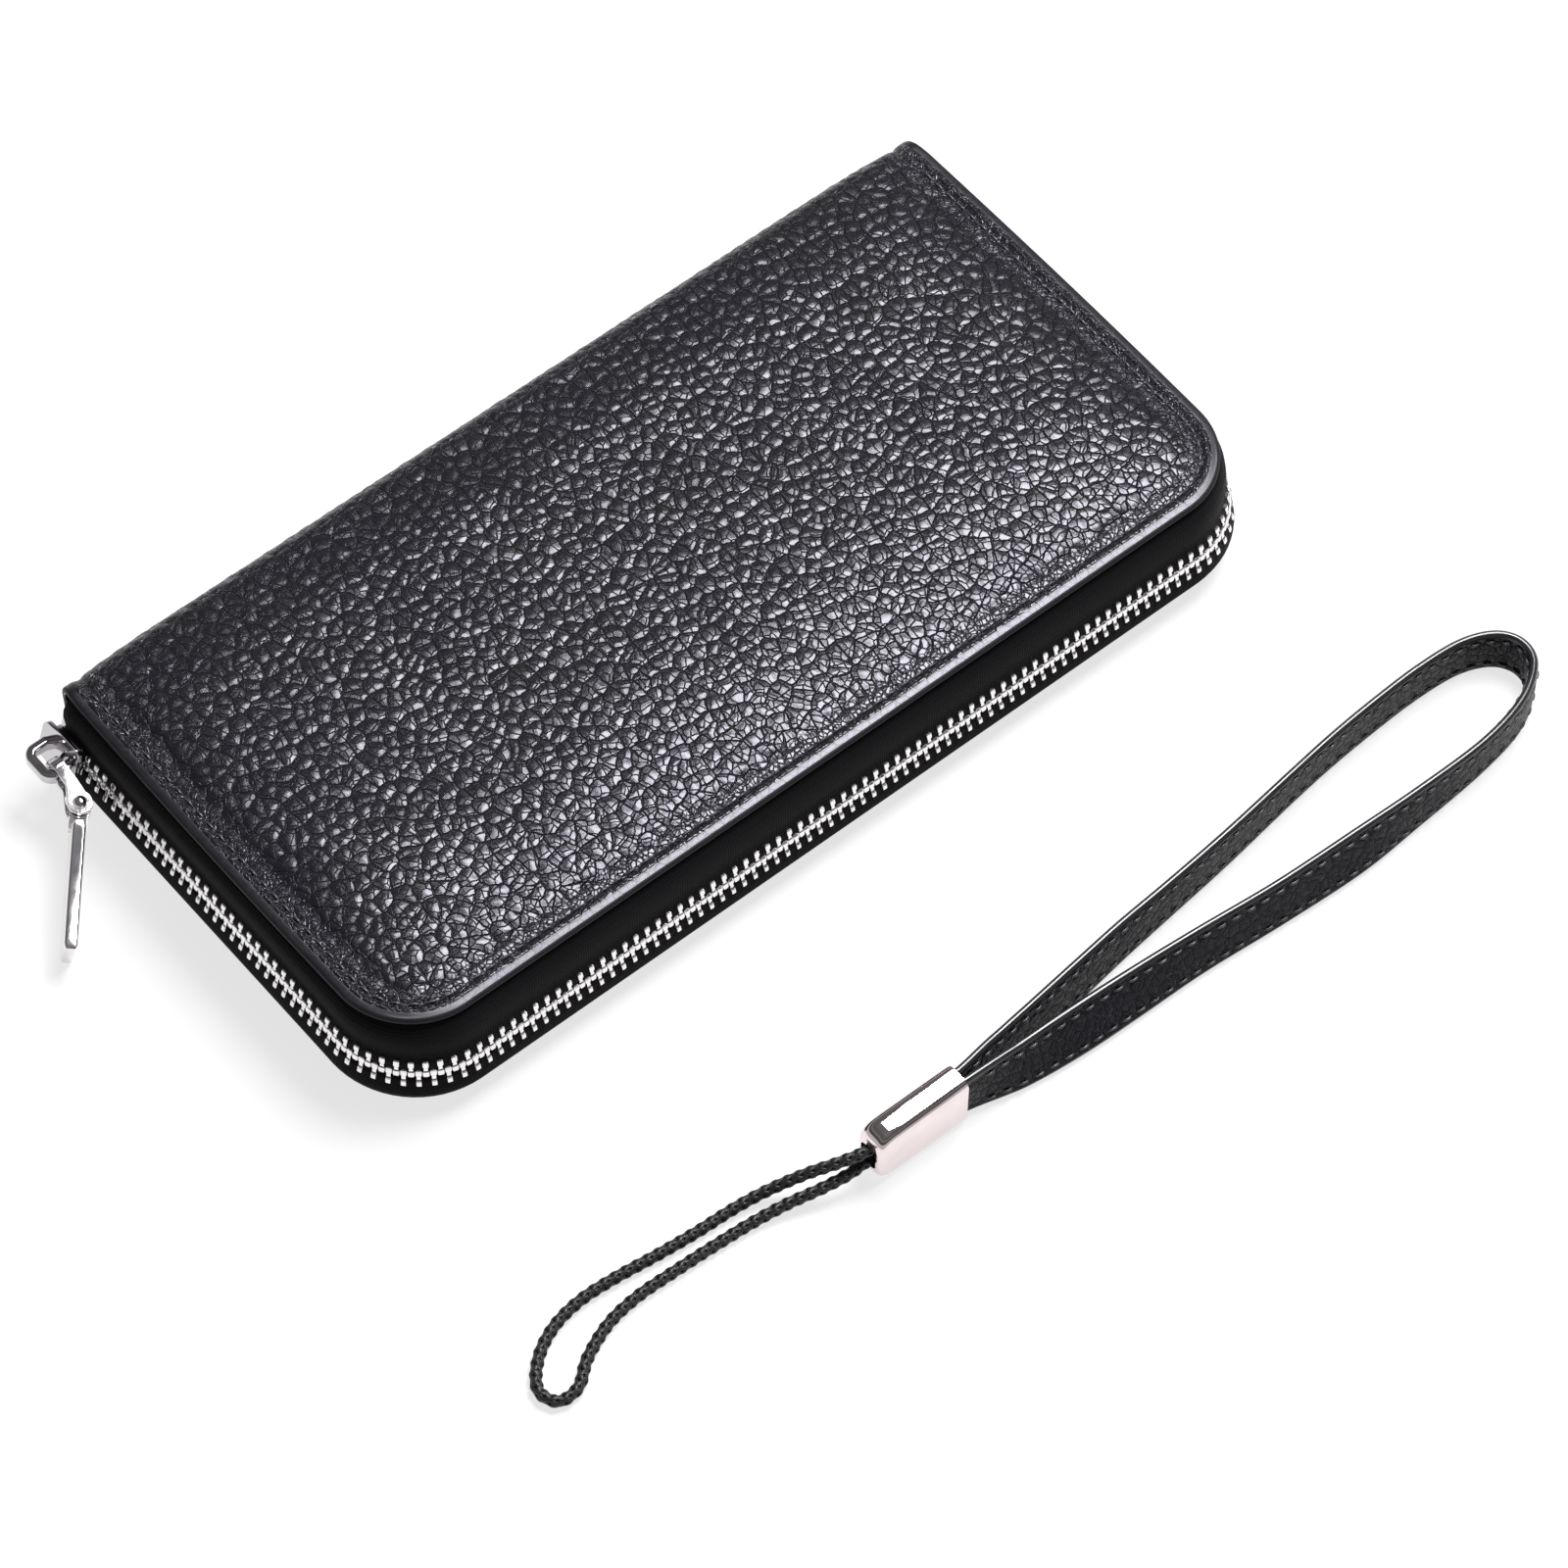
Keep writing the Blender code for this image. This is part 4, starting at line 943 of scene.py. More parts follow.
def coverSeam(name, sFrom, sTo, body):
    # stitches set in from the edge of one half of the sheet
    inset = cover["stitchIn"]
    half = cover["halfLength"] - inset
    r = cover["cornerRadius"] - inset
    last = abs(sTo - sFrom)
    flat = [(-half, t) for t in np.linspace(last, inset + r, 60)]
    flat += arcPoints(-half + r, inset + r, r, 180, 270, 23)[1:]
    flat += [(t, inset) for t in np.linspace(-half + r, half - r, 80)[1:]]
    flat += arcPoints(half - r, inset + r, r, 270, 360, 23)[1:]
    flat += [(half, t) for t in np.linspace(inset + r, last, 60)[1:]]
    flat = np.array(flat)
    run = runAlong(flat)
    count = int(run[-1] / cover["stitchPitch"])
    shapes = []
    for i in range(count):
        a = i * cover["stitchPitch"]
        ends = []
        for at in (a, a + cover["stitchLength"]):
            u = np.array([np.interp(at, run, flat[:, 0])])
            t = np.array([np.interp(at, run, flat[:, 1])])
            s = sFrom + t if sTo > sFrom else sFrom - t
            place, normal = coverPlace(u, s, coverRelief(u, s))
            ends.append(place[0])
        shapes.append(stitchShape(ends[0], ends[1], cover["threadRadius"], normal[0]))
    settle(solidPiece(name, shapes, threadMaterial), body)


coverSeam("topCoverStitching", 0.0, topRun - 1.5, "top_cover")
coverSeam("bottomCoverStitching", wholeRun, wholeRun - topRun + 1.5, "case")
print("cover made")

zipLook = {
    "half": 96.6,
    "frontY": -48.1,
    "radius": 16.6,
    "teethEndY": 41.0,
    "tapeEndY": 45.2,
    "middleZ": 12.0,
    "frontDrop": 0.9,  # the chain hangs lower along the front
    "frontProud": 0.5,
    "halfWidth": 2.75,
    "tilt": 16.0,  # degrees the chain leans, its top inwards
    "pitch": 2.4,
    "tapeRim": 10.25,
    "tapeStep": 1.6,
}


def zipPlace(along, outward, endY):
    # a point beside the chain's path, at a distance along it from the slider's end
    half, front, radius = zipLook["half"], zipLook["frontY"], zipLook["radius"]
    sideRun = endY - (front + radius)
    bend = radius * pi / 2
    frontRun = 2 * (half - radius)
    reach = radius + outward
    if along <= sideRun:
        return (-half - outward, endY - along)
    along -= sideRun
    if along <= bend:
        angle = pi + along / radius
        return (-half + radius + reach * cos(angle), front + radius + reach * sin(angle))
    along -= bend
    if along <= frontRun:
        return (-half + radius + along, front - outward)
    along -= frontRun
    if along <= bend:
        angle = 1.5 * pi + along / radius
        return (half - radius + reach * cos(angle), front + radius + reach * sin(angle))
    along -= bend
    return (half + outward, front + radius + along)


def zipLength(endY):
    half, front, radius = zipLook["half"], zipLook["frontY"], zipLook["radius"]
    return 2 * (endY - (front + radius)) + 2 * (half - radius) + pi * radius


def frontShare(along, endY):
    # 0 on the sides, 1 along the front
    half, front, radius = zipLook["half"], zipLook["frontY"], zipLook["radius"]
    sideRun = endY - (front + radius)
    bend = radius * pi / 2
    whole = zipLength(endY)
    left = float(smoothStep(along, sideRun - 6, sideRun + bend))
    right = float(smoothStep(whole - along, sideRun - 6, sideRun + bend))
    return min(left, right)


def chainPoint(along, outward, up, endY):
    # outward and up are in the chain's own leaning section
    lean = radians(zipLook["tilt"])
    share = frontShare(along, endY)
    out = outward * cos(lean) - up * sin(lean) + zipLook["frontProud"] * share
    x, y = zipPlace(along, out, endY)
    middle = zipLook["middleZ"] - zipLook["frontDrop"] * share
    return (x, y, middle + up * cos(lean) + outward * sin(lean) * 0.6)


def toothShape(along, direction):
    # from the foot that grips the tape to the head that locks with the other row
    foot = 0.54 if direction > 0 else 0.44
    wide = zipLook["halfWidth"]
    levels = [
        (wide, foot - 0.14, 0.62), (wide - 0.16, foot, 0.84), (1.75, foot, 0.86), (1.5, foot - 0.04, 0.78),
        (1.3, 0.38, 0.58), (0.62, 0.40, 0.58), (0.38, 0.55, 0.72), (-0.30, 0.58, 0.75),
        (-0.62, 0.50, 0.68), (-0.76, 0.34, 0.5),
    ]
    loops = []
    for up, halfAlong, halfOut in levels:
        loops.append([
            chainPoint(along + a, o, direction * up, zipLook["teethEndY"])
            for a, o in roundedRect(halfAlong, halfOut, min(halfAlong, halfOut) * 0.42, 2)
        ])
    return sweptShape(loops)


def zipRow(name, direction, body, node):
    shift = 0.6 if direction > 0 else 0.6 + zipLook["pitch"] / 2
    total = zipLength(zipLook["teethEndY"])
    count = int((total - shift - 0.6) / zipLook["pitch"])
    teeth = [toothShape(shift + i * zipLook["pitch"], direction) for i in range(count + 1)]
    piece = solidPiece(name, teeth, teethMaterial)
    for polygon in piece.data.polygons:
        polygon.use_smooth = False
    settle(piece, body, node)


zipRow("upperZipTeeth", 1, "top_cover", "upper_zip_teeth")
zipRow("lowerZipTeeth", -1, "case", "lower_zip_teeth")


def zipTape(name, direction, body, node):
    # the woven tape: a corded edge inside the teeth, then a band that bulges and turns in under the cover
    endY = zipLook["tapeEndY"]
    total = zipLength(endY)
    stations = np.linspace(0, total, int(total / zipLook["tapeStep"]) + 1)
    rimUp = zipLook["tapeRim"]
    # how far out and how far up the tape runs, from the teeth to where it turns in
    ways = [
        (0.0, 0.9), (0.0, 2.4), (0.05, 3.6), (0.35, 5.2), (0.25, 6.8), (-0.45, 8.4), (-1.5, 9.6),
        (-2.8, rimUp + 0.3), (-5.0, rimUp + 0.55), (-6.6, rimUp + 0.6),
    ]
    loops, spots = [], []
    for along in stations:
        share = frontShare(along, endY)
        base = []
        drop = zipLook["frontDrop"] * share
        lean = radians(zipLook["tilt"])
        for out, up in ways:
            # the lean of the chain fades out along the tape
            fade = 1 - smoothStep(np.array(up), 3.0, rimUp)
            tiltOut = -direction * up * sin(lean) * float(fade)
            z = zipLook["middleZ"] + direction * up - drop * float(fade)
            base.append((out + tiltOut + zipLook["frontProud"] * share * float(fade), z))
        outer, inner = [], []
        for k, (out, z) in enumerate(base):
            before, after = base[max(0, k - 1)], base[min(len(base) - 1, k + 1)]
            d = Vector((after[0] - before[0], after[1] - before[1])).normalized()
            side = Vector((-d.y, d.x)) * (0.55 if k == 0 else 0.28)
            outer.append((out + side.x, z + side.y))
            inner.append((out - side.x, z - side.y))
        section = outer + inner[::-1]
        loop = []
        for out, z in section:
            x, y = zipPlace(along, out, endY)
            loop.append((x, y, z))
        loops.append(loop)
        ups = [w[1] for w in ways]
        spots += [(along, direction * v, 0) for v in ups + ups[::-1]]
    points, faces = sweptShape(loops)
    piece = newPiece(name, points, faces, tapeMaterial)
    layer = piece.data.attributes.new("tapeSpot", "FLOAT_VECTOR", "POINT")
    layer.data.foreach_set("vector", np.asarray(spots, np.float32).ravel())
    tidyNormals(piece)
    settle(piece, body, node)


zipTape("upperZipTapeBand", 1, "top_cover", "upper_zip_tape")
zipTape("lowerZipTapeBand", -1, "case", "lower_zip_tape")
print("zip made")


def softened(piece, width, angle=30):
    # rounds the sharp edges for good
    work = bmesh.new()
    work.from_mesh(piece.data)
    bmesh.ops.recalc_face_normals(work, faces=work.faces)
    sharp = [e for e in work.edges if len(e.link_faces) == 2 and e.calc_face_angle(0) > radians(angle)]
    bmesh.ops.bevel(
        work, geom=sharp, offset=width * mm, segments=2, profile=0.5, affect="EDGES", clamp_overlap=True,
    )
    for face in work.faces:
        face.smooth = True
    work.to_mesh(piece.data)
    work.free()
    step = piece.modifiers.new("weighted", "WEIGHTED_NORMAL")
    step.keep_sharp = True
    return piece


def prismShape(outline, low, high):
    # an outline in x and y with a flat top and bottom
    return sweptShape([[(x, y, low) for x, y in outline], [(x, y, high) for x, y in outline]])


def turned(shape, matrix):
    points, faces = shape
    return [tuple(matrix @ Vector(p)) for p in points], faces


def upright(shape):
    # from a plan in (y, z) with its thickness along x, to the real axes
    points, faces = shape
    return [(p[2], p[0], p[1]) for p in points], faces


sliderLook = {
    "centreX": -96.6, "middleZ": 12.0, "frontY": 38.0, "backY": 48.0, "halfHeight": 4.9,
    "outPlate": (-99.7, -98.7), "inPlate": (-95.3, -94.3), "flange": 0.8, "postY": 46.1,
    "bridgeX": -101.9, "bridgeY": (41.6, 44.8), "bridgeBend": 1.7, "bridgeFoot": -99.3,
}


def leaned(shape):
    # leans the plates with the chain
    move = Matrix.Translation((sliderLook["centreX"], 0, sliderLook["middleZ"]))
    turn = Matrix.Rotation(radians(zipLook["tilt"]), 4, "Y")
    return turned(shape, move @ turn @ move.inverted())


def sliderPlate(low, high, shrink):
    # wide at its mouths, waisted at the back
    f, b, h, z = (sliderLook[k] for k in ("frontY", "backY", "halfHeight", "middleZ"))
    h -= shrink
    outline = arcPoints(f + 1.2, z - h + 1.4, 1.2, 180, 270, 5)
    outline += [(f + 5.5, z - h + 0.25), (b - 2.4, z - h + 0.7)]
    outline += arcPoints(b - 1.8, z - h + 2.5, 1.8, 290, 360, 5)
    outline += [(y, 2 * z - w) for y, w in outline[::-1]]
    return leaned(upright(prismShape(outline, low, high)))


def sliderFlange(x0, x1, side):
    f, b, h, z = (sliderLook[k] for k in ("frontY", "backY", "halfHeight", "middleZ"))
    rail = [(f + 0.7, h - 0.1), (f + 5.5, h - 0.3), (b - 2.4, h - 0.75)]
    outline = [(y, z + side * w) for y, w in rail]
    outline += [(y, z + side * (w - sliderLook["flange"])) for y, w in rail[::-1]]
    return leaned(upright(prismShape(outline, x0, x1)))


def ringShape():
    # the bridge: a round-edged D that stands out from the outer plate
    x, bend, foot = (sliderLook[k] for k in ("bridgeX", "bridgeBend", "bridgeFoot"))
    front, back = sliderLook["bridgeY"]
    path = [(foot, front - bend)] + arcPoints(x, front, bend, 262, 180, 6)
    path += arcPoints(x, back, bend, 180, 98, 6) + [(foot, back + bend)]
    line = smoothRoute(path, 0.35)
    loops = []
    for i, (x, y) in enumerate(line):
        a, b = line[max(0, i - 1)], line[min(len(line) - 1, i + 1)]
        d = Vector((b[0] - a[0], b[1] - a[1])).normalized()
        side = Vector((-d.y, d.x))
        section = roundedRect(0.9, 1.2, 0.55, 4)
        loops.append([(x + side.x * p, y + side.y * p, sliderLook["middleZ"] + q) for p, q in section])
    return sweptShape(loops)


def sliderPiece():
    z = sliderLook["middleZ"]
    post = roundedRect(1.1, 1.1, 0.5, 3)
    postShape = [(y + sliderLook["postY"], w + z) for y, w in post]
    shapes = [
        sliderPlate(*sliderLook["outPlate"], 0.0), sliderPlate(*sliderLook["inPlate"], 0.2),
        leaned(upright(prismShape(postShape, -99.2, -94.8))),
        sliderFlange(-99.2, -97.9, 1), sliderFlange(-99.2, -97.9, -1),
        sliderFlange(-95.4, -94.8, 1), sliderFlange(-95.4, -94.8, -1),
    ]
    body = softened(newPiece("sliderBody", *gather(shapes), sliderMaterial), 0.22)
    settle(body, "slider", "slider_body")
    settle(solidPiece("sliderBridge", [ringShape()], sliderMaterial), "slider")


sliderPiece()

pullLook = {
    "axis": (-101.3, 40.0, 12.0), "slope": 16.5, "rivet": (-1.0, -6.8), "swing": 40.0,
    "cheekRadius": 2.2, "cheekInner": 1.6, "cheekThick": 0.9, "neck": 1.1,
    "barStart": 3.7, "barEnd": 27.0, "barHalf": 1.2, "barTall": 4.0,
}
linkTurn = Matrix.Translation(pullLook["axis"]) @ Matrix.Rotation(radians(pullLook["slope"]), 4, "X")


def linkPiece():
    x, y = pullLook["rivet"]
    inner, outer = pullLook["cheekInner"], pullLook["cheekInner"] + pullLook["cheekThick"]
    neck = pullLook["neck"]
    outline = arcPoints(x, y, pullLook["cheekRadius"], 150, 390, 18)
    outline += [(neck, -2.6), (neck, 0.6), (-neck, 0.6), (-neck, -2.6)]
    cheeks = [prismShape(outline, inner, outer), prismShape(outline, -outer, -inner)]
    shapes = [turned(cheek, linkTurn) for cheek in cheeks]
    # the strip folds round the bridge between the cheeks
    loops = []
    for a in np.linspace(90, -90, 13):
        c, s = cos(radians(a)), sin(radians(a))
        loops.append([
            tuple(linkTurn @ Vector((w, 0.4 + r * c, r * s)))
            for w, r in ((-neck, inner), (neck, inner), (neck, outer), (-neck, outer))
        ])
    shapes.append(sweptShape(loops))
    piece = softened(newPiece("pullLink", *gather(shapes), pullMaterial), 0.16)
    settle(piece, "link", "pull_link")
    # rivet with domed heads
    top = outer + 0.1
    head = [(0.02, 0.55), (0.5, 0.50), (0.9, 0.34), (1.15, 0.12), (1.18, 0.0), (0.7, 0.0)]
    rings = [(r, top + h) for r, h in head] + [(r, -top - h) for r, h in head[::-1]]
    loops = []
    for r, height in rings:
        ring = [Vector((x + r * cos(k), y + r * sin(k), height)) for k in fullTurn(24)]
        loops.append([tuple(linkTurn @ spot) for spot in ring])
    settle(solidPiece("pullRivet", [sweptShape(loops)], pullMaterial), "link", "pull_rivet")


def barPiece():
    turn = linkTurn @ Matrix.Translation((*pullLook["rivet"], 0))
    turn = turn @ Matrix.Rotation(radians(-pullLook["swing"]), 4, "Z")
    start, end = pullLook["barStart"], pullLook["barEnd"]
    half, tall = pullLook["barHalf"], pullLook["barTall"]
    loops = []
    for t in np.linspace(0, 1, 25):
        y = -start - (end - start) * t
        edge = min(t, 1 - t) * (end - start)
        grow = 0.72 + 0.28 * float(smoothStep(edge, 0.0, 1.0))
        waist = 1 - 0.10 * sin(pi * t)
        loops.append([
            tuple(turn @ Vector((px, y, pz)))
            for px, pz in roundedRect(half * grow, tall * waist * (0.9 + 0.1 * grow), 0.5 * grow, 3)
        ])
    tongue = arcPoints(0, 0, 1.6, 0, 180, 14) + [(-1.6, -start - 0.8), (1.6, -start - 0.8)]
    shapes = [sweptShape(loops), turned(prismShape(tongue, -1.2, 1.2), turn)]
    piece = softened(newPiece("pullBar", *gather(shapes), pullMaterial), 0.12, 50)
    settle(piece, "bar", "pull_bar")


linkPiece()
barPiece()


def crimpedStop(name, node, body):
    # a small metal block pinched round the tape
    low, high = nodeBox(node)
    middle, half = (low + high) / 2, (high - low) / 2
    loops = []
    waists = ((1, 0.7), (0.85, 1.0), (0.35, 1.0), (0.2, 0.86))  # along the block, and its thickness there
    for t, grow in [(-t, grow) for t, grow in waists] + list(waists[::-1]):
        loops.append([
            (middle.x + px, middle.y + half.y * t, middle.z + pz)
            for px, pz in roundedRect(half.x * grow, half.z * (0.9 + 0.1 * grow), 0.35, 3)
        ])
    settle(solidPiece(name, [sweptShape(loops)], teethMaterial), body, node)


crimpedStop("upperStop", "upper_end_stop", "case")
crimpedStop("lowerStop", "lower_end_stop", "case")
crimpedStop("closingStop", "bottom_stop", "case")
print("slider and pull made")

strapLook = {
    "width": 10.5,
    "thick": 1.7,
    "restZ": 0.2,
    "lift": 0.95,
    "liftFromX": -20.5,
    "liftRun": 12.0,
    "step": 0.62,
    "seamFromEdge": 1.85,
    "stitchPitch": 3.1,
    "stitchLength": 2.1,
    "threadRadius": 0.25,
    "grain": 0.42,  # how high the pebbles stand, as a share of the cover's
    "knots": [  # x, y and how far the strap leans over, in degrees
        (-36, -104, 0), (-28, -104, 0), (-20, -104.1, 0), (-8, -105.4, 17), (4, -106.1, 25),
        (16, -106.6, 23), (30, -107.3, 17), (47, -108.7, 15), (64, -109.4, 16), (78, -109.2, 7),
        (94, -108.4, 0), (105, -106.2, 0), (111.8, -102, 0), (113.4, -97.4, 0), (111, -93.2, 0),
        (105, -90.6, 0), (96, -89.9, 0), (86, -90.2, 0), (75, -91, 0), (64, -92.3, 0),
        (47, -94.6, 2), (32, -96.2, 4), (21, -97.3, 7), (10, -98.7, 9),
        (-1, -100, 9), (-11, -101.1, 8), (-20, -101.9, 0), (-28, -101.9, 0), (-36, -101.9, 0),
    ],
}


def strapFrames():
    line = smoothRoute(strapLook["knots"], strapLook["step"])
    middles, acrosses, ups = [], [], []
    for i, (x, y, lean) in enumerate(line):
        before, after = line[max(i - 1, 0)], line[min(i + 1, len(line) - 1)]
        along = Vector((after[0] - before[0], after[1] - before[1], 0)).normalized()
        stand = Vector((0, sin(radians(lean)), cos(radians(lean))))
        across = along.cross(stand).normalized()
        up = across.cross(along).normalized()
        near = min(1, max(0, (strapLook["liftFromX"] + strapLook["liftRun"] - x) / strapLook["liftRun"]))
        height = strapLook["restZ"] + strapLook["lift"] * near
        height += abs(up.z) * strapLook["width"] / 2 + abs(across.z) * strapLook["thick"] / 2
        middles.append(np.array((x, y, height)))
        acrosses.append(np.array(across))
        ups.append(np.array(up))
    middles = np.array(middles)
    run = runAlong(middles[:, :2])
    return middles, np.array(acrosses), np.array(ups), run


def strapSection():
    # (across, up, on a face) round the strap: two broad faces with a sewn groove each,
    # and two round painted edges
    half, thin, seam = strapLook["width"] / 2, strapLook["thick"] / 2, strapLook["seamFromEdge"]
    face = []
    for up in np.linspace(half - 0.75, -half + 0.75, 17):
        groove = 0.13 * exp(-(((half - seam - abs(up)) / 0.45) ** 2))
        crown = 0.10 * (1 - (up / half) ** 2)
        face.append((thin - 0.10 + crown - groove, up, 1))
    edge = []
    for a in (-25, -60, -90, -120, -155):
        a = radians(a)
        edge.append((thin * 0.86 * cos(a), -half + 0.75 + 0.75 * sin(a), 0))
    section = face + edge
    section += [(-across, up, 1) for across, up, on in face[::-1]]
    section += [(across, -up, 0) for across, up, on in edge[::-1]]
    return section


def strapPiece():
    middles, acrosses, ups, run = strapFrames()
    section = strapSection()
    loops, spots, grains = [], [], []
    for m, a, u, r in zip(middles, acrosses, ups, run):
        loops.append([tuple(m + a * p + u * q) for p, q, on in section])
        spots += [(r, q + (40 if p < 0 else 0), 0) for p, q, on in section]
        # the grain fades out towards the painted edges
        inset = [(strapLook["width"] / 2 - 0.8 - abs(q)) / 0.6 for p, q, on in section]
        grains += [strapLook["grain"] * s[2] * min(1.0, max(0.0, gap)) for s, gap in zip(section, inset)]
    points, faces = sweptShape(loops)
    piece = newPiece("wristStrapLoop", points, faces, [strapMaterial, edgeMaterial])
    addSpots(piece.data, spots, np.full(len(points), 9.0), grains)
    count = len(section)
    for polygon in piece.data.polygons:
        if len(polygon.vertices) == 4 and any(not section[i % count][2] for i in polygon.vertices):
            polygon.material_index = 1
    tidyNormals(piece)
    applyTree(piece, pebbleRelief(strapCell))
    settle(piece, "wrist_strap", "strap_loop")
    # two rows of stitches on each face
    shapes = []
    half, thin, seam = strapLook["width"] / 2, strapLook["thick"] / 2, strapLook["seamFromEdge"]
    for side in (1, -1):
        for row in (half - seam, seam - half):
            for start in np.arange(20.0, run[-1] - 20.0, strapLook["stitchPitch"]):
                ends = []
                for at in (start, start + strapLook["stitchLength"]):
                    place = np.array([np.interp(at, run, middles[:, k]) for k in range(3)])
                    across = np.array([np.interp(at, run, acrosses[:, k]) for k in range(3)])
                    up = np.array([np.interp(at, run, ups[:, k]) for k in range(3)])
                    ends.append(place + side * across * (thin - 0.16) + up * row)
                bend = side * across / np.linalg.norm(across)
                shapes.append(stitchShape(*ends, strapLook["threadRadius"], bend))
    settle(solidPiece("wristStrapStitching", shapes, threadMaterial), "wrist_strap")


strapPiece()

ferruleLook = {
    "left": -40.0, "right": -20.5, "y": -102.95, "low": 0.2, "high": 12.6, "halfThick": 2.9, "wall": 0.6,
    "cornerRadius": 3.4, "mouthHalfTall": 3.3, "mouthHalfThick": 1.9,
}


def sleeveSection(half, tall, shoulder):
    # flat broad sides that end in a crisp line, then wide round shoulders and a barely domed top
    crisp = radians(14)
    middle = half - shoulder * cos(crisp)
    points = []
    for sign in (1, -1):
        flatTo = tall - shoulder + shoulder * sin(crisp)
        side = [(half, t * flatTo) for t in (-1.0, -0.5, 0.0, 0.5, 1.0)]
        side += arcPoints(middle, tall - shoulder, shoulder, 20, 90, 12)
        side += [(y * middle, tall) for y in (0.6, 0.2, -0.2, -0.6)]
        side += [(-y, z) for y, z in arcPoints(middle, tall - shoulder, shoulder, 90, 20, 12)]
        points += [(sign * y, sign * z) for y, z in side]
    return points


def ferrulePiece():
    look = ferruleLook
    middle, tall = (look["low"] + look["high"]) / 2, (look["high"] - look["low"]) / 2
    r = look["cornerRadius"]
    outer, inner = [], []
    stations = [0.0, 0.12, 0.3, 0.6, 1.0, 1.6, 2.3, 3.4, 8.0, 13.0, 18.9, 19.3, 19.5]
    for s in stations:
        x = look["left"] + s
        h = tall if s >= r else tall - r + sqrt(max(0.0, r * r - (r - s) ** 2))
        h = max(h, tall - r * 0.86)
        half = look["halfThick"] - 0.5 * max(0.0, 1 - s / 0.9) ** 2
        lip = 0.10 if s > 19.2 else 0.0
        section = sleeveSection(half, h, 1.9)
        outer.append([(x, look["y"] + y * (1 - lip / 3), middle + z * (1 - lip / 8)) for y, z in section])
        blend = float(smoothStep(s, 0.5, 2.4))
        thick, high, wall = look["mouthHalfThick"], look["mouthHalfTall"], look["wall"]
        mouth = thick + (look["halfThick"] - wall - thick) * blend
        mouthTall = min(h - wall, high + (tall - wall - high) * blend)
        inner.append([(x, look["y"] + y, middle + z) for y, z in sleeveSection(mouth, mouthTall, 1.3)])
    piece = solidPiece("cordFerrule", [sweptShape(outer + inner[::-1], closed=True)], ferruleMaterial)
    work = bmesh.new()
    work.from_mesh(piece.data)
    for edge in work.edges:
        if len(edge.link_faces) == 2 and edge.calc_face_angle(0) > radians(32):
            edge.smooth = False
    work.to_mesh(piece.data)
    work.free()
    settle(piece, "wrist_strap", "ferrule")


ferrulePiece()
print("strap and ferrule made")

insideLook = {
    "step": 3.0,
    "ripple": 0.07,
    "seamInset": 1.6,
    "stitchPitch": 2.8,
    "stitchLength": 2.0,
    "threadRadius": 0.12,
    "coinPitch": 1.7,
}


def panelGrid(x0, x1, y0, y1, frontRadius):
    cols, rows = int((x1 - x0) / insideLook["step"]) + 1, int((y1 - y0) / insideLook["step"]) + 1
    x, y = np.meshgrid(np.linspace(x0, x1, cols), np.linspace(y0, y1, rows))
    x, y = x.ravel(), y.ravel()
    r = frontRadius
    if r > 0:
        for sign, edge in ((1, x1), (-1, x0)):
            gap = sign * (edge - x)
            corner = (gap < r) & (y - y0 < r)
            a, b = (r - gap[corner]) / r, (r - (y[corner] - y0)) / r
            x[corner] = edge - sign * (r - r * a * np.sqrt(1 - b * b / 2))
            y[corner] = y0 + r - r * b * np.sqrt(1 - a * a / 2)
    return x, y, rows, cols


def softPanel(name, node, body, material, frontRadius=3.0, seams=()):
    # a thin panel with turned, rounded rims and a slight ripple
    low, high = nodeBox(node)
    x, y, rows, cols = panelGrid(low.x, high.x, low.y, high.y, frontRadius)
    thick = high.z - low.z
    middle = (high.z + low.z) / 2
    seed = sum(ord(c) for c in name)
    ripple = np.sin(x * 0.11 + seed) * np.cos(y * 0.17 + seed * 0.7) + 0.5 * np.sin(x * 0.31 + y * 0.23)
    ripple = insideLook["ripple"] * ripple
    ring = ringOf(rows, cols)
    grids = []
    for side in (1, -1):
        rim = np.zeros(rows * cols)
        rim[ring] = thick * 0.22
        grids.append(np.stack([x, y, middle + side * (thick / 2 - rim) + ripple * (rim == 0)], -1))
    count = rows * cols
    faces = gridFaces(rows, cols) + [face[::-1] for face in gridFaces(rows, cols, count)]
    for k in range(len(ring)):
        m = (k + 1) % len(ring)
        faces.append((ring[m], ring[k], count + ring[k], count + ring[m]))
    piece = newPiece(name, np.concatenate(grids).tolist(), faces, material)
    tidyNormals(piece)
    settle(piece, body, node)
    shapes = []
    for (ax, ay), (bx, by), side in seams:
        start, end = np.array((ax, ay)), np.array((bx, by))
        length = np.linalg.norm(end - start)
        along = (end - start) / length
        level = middle + side * thick / 2
        for at in np.arange(1.0, length - insideLook["stitchLength"], insideLook["stitchPitch"]):
            a, b = start + along * at, start + along * (at + insideLook["stitchLength"])
            bend = np.array((0, 0, float(side)))
            shapes.append(stitchShape((*a, level), (*b, level), insideLook["threadRadius"], bend))
    if shapes:
        settle(solidPiece(name + "Stitching", shapes, threadMaterial), body)
    return piece, (high.x - low.x) * mm, (high.y - low.y) * mm


def seamFrame(node, inset, side):
    # seam lines along a panel's two sides and its front
    low, high = nodeBox(node)
    x0, x1, y0, y1 = low.x + inset, high.x - inset, low.y + inset, high.y
    r = 3.5
    lines = [((x0, y0 + r), (x0, y1)), ((x0 + r, y0), (x1 - r, y0)), ((x1, y0 + r), (x1, y1))]
    return [(start, end, side) for start, end in lines]


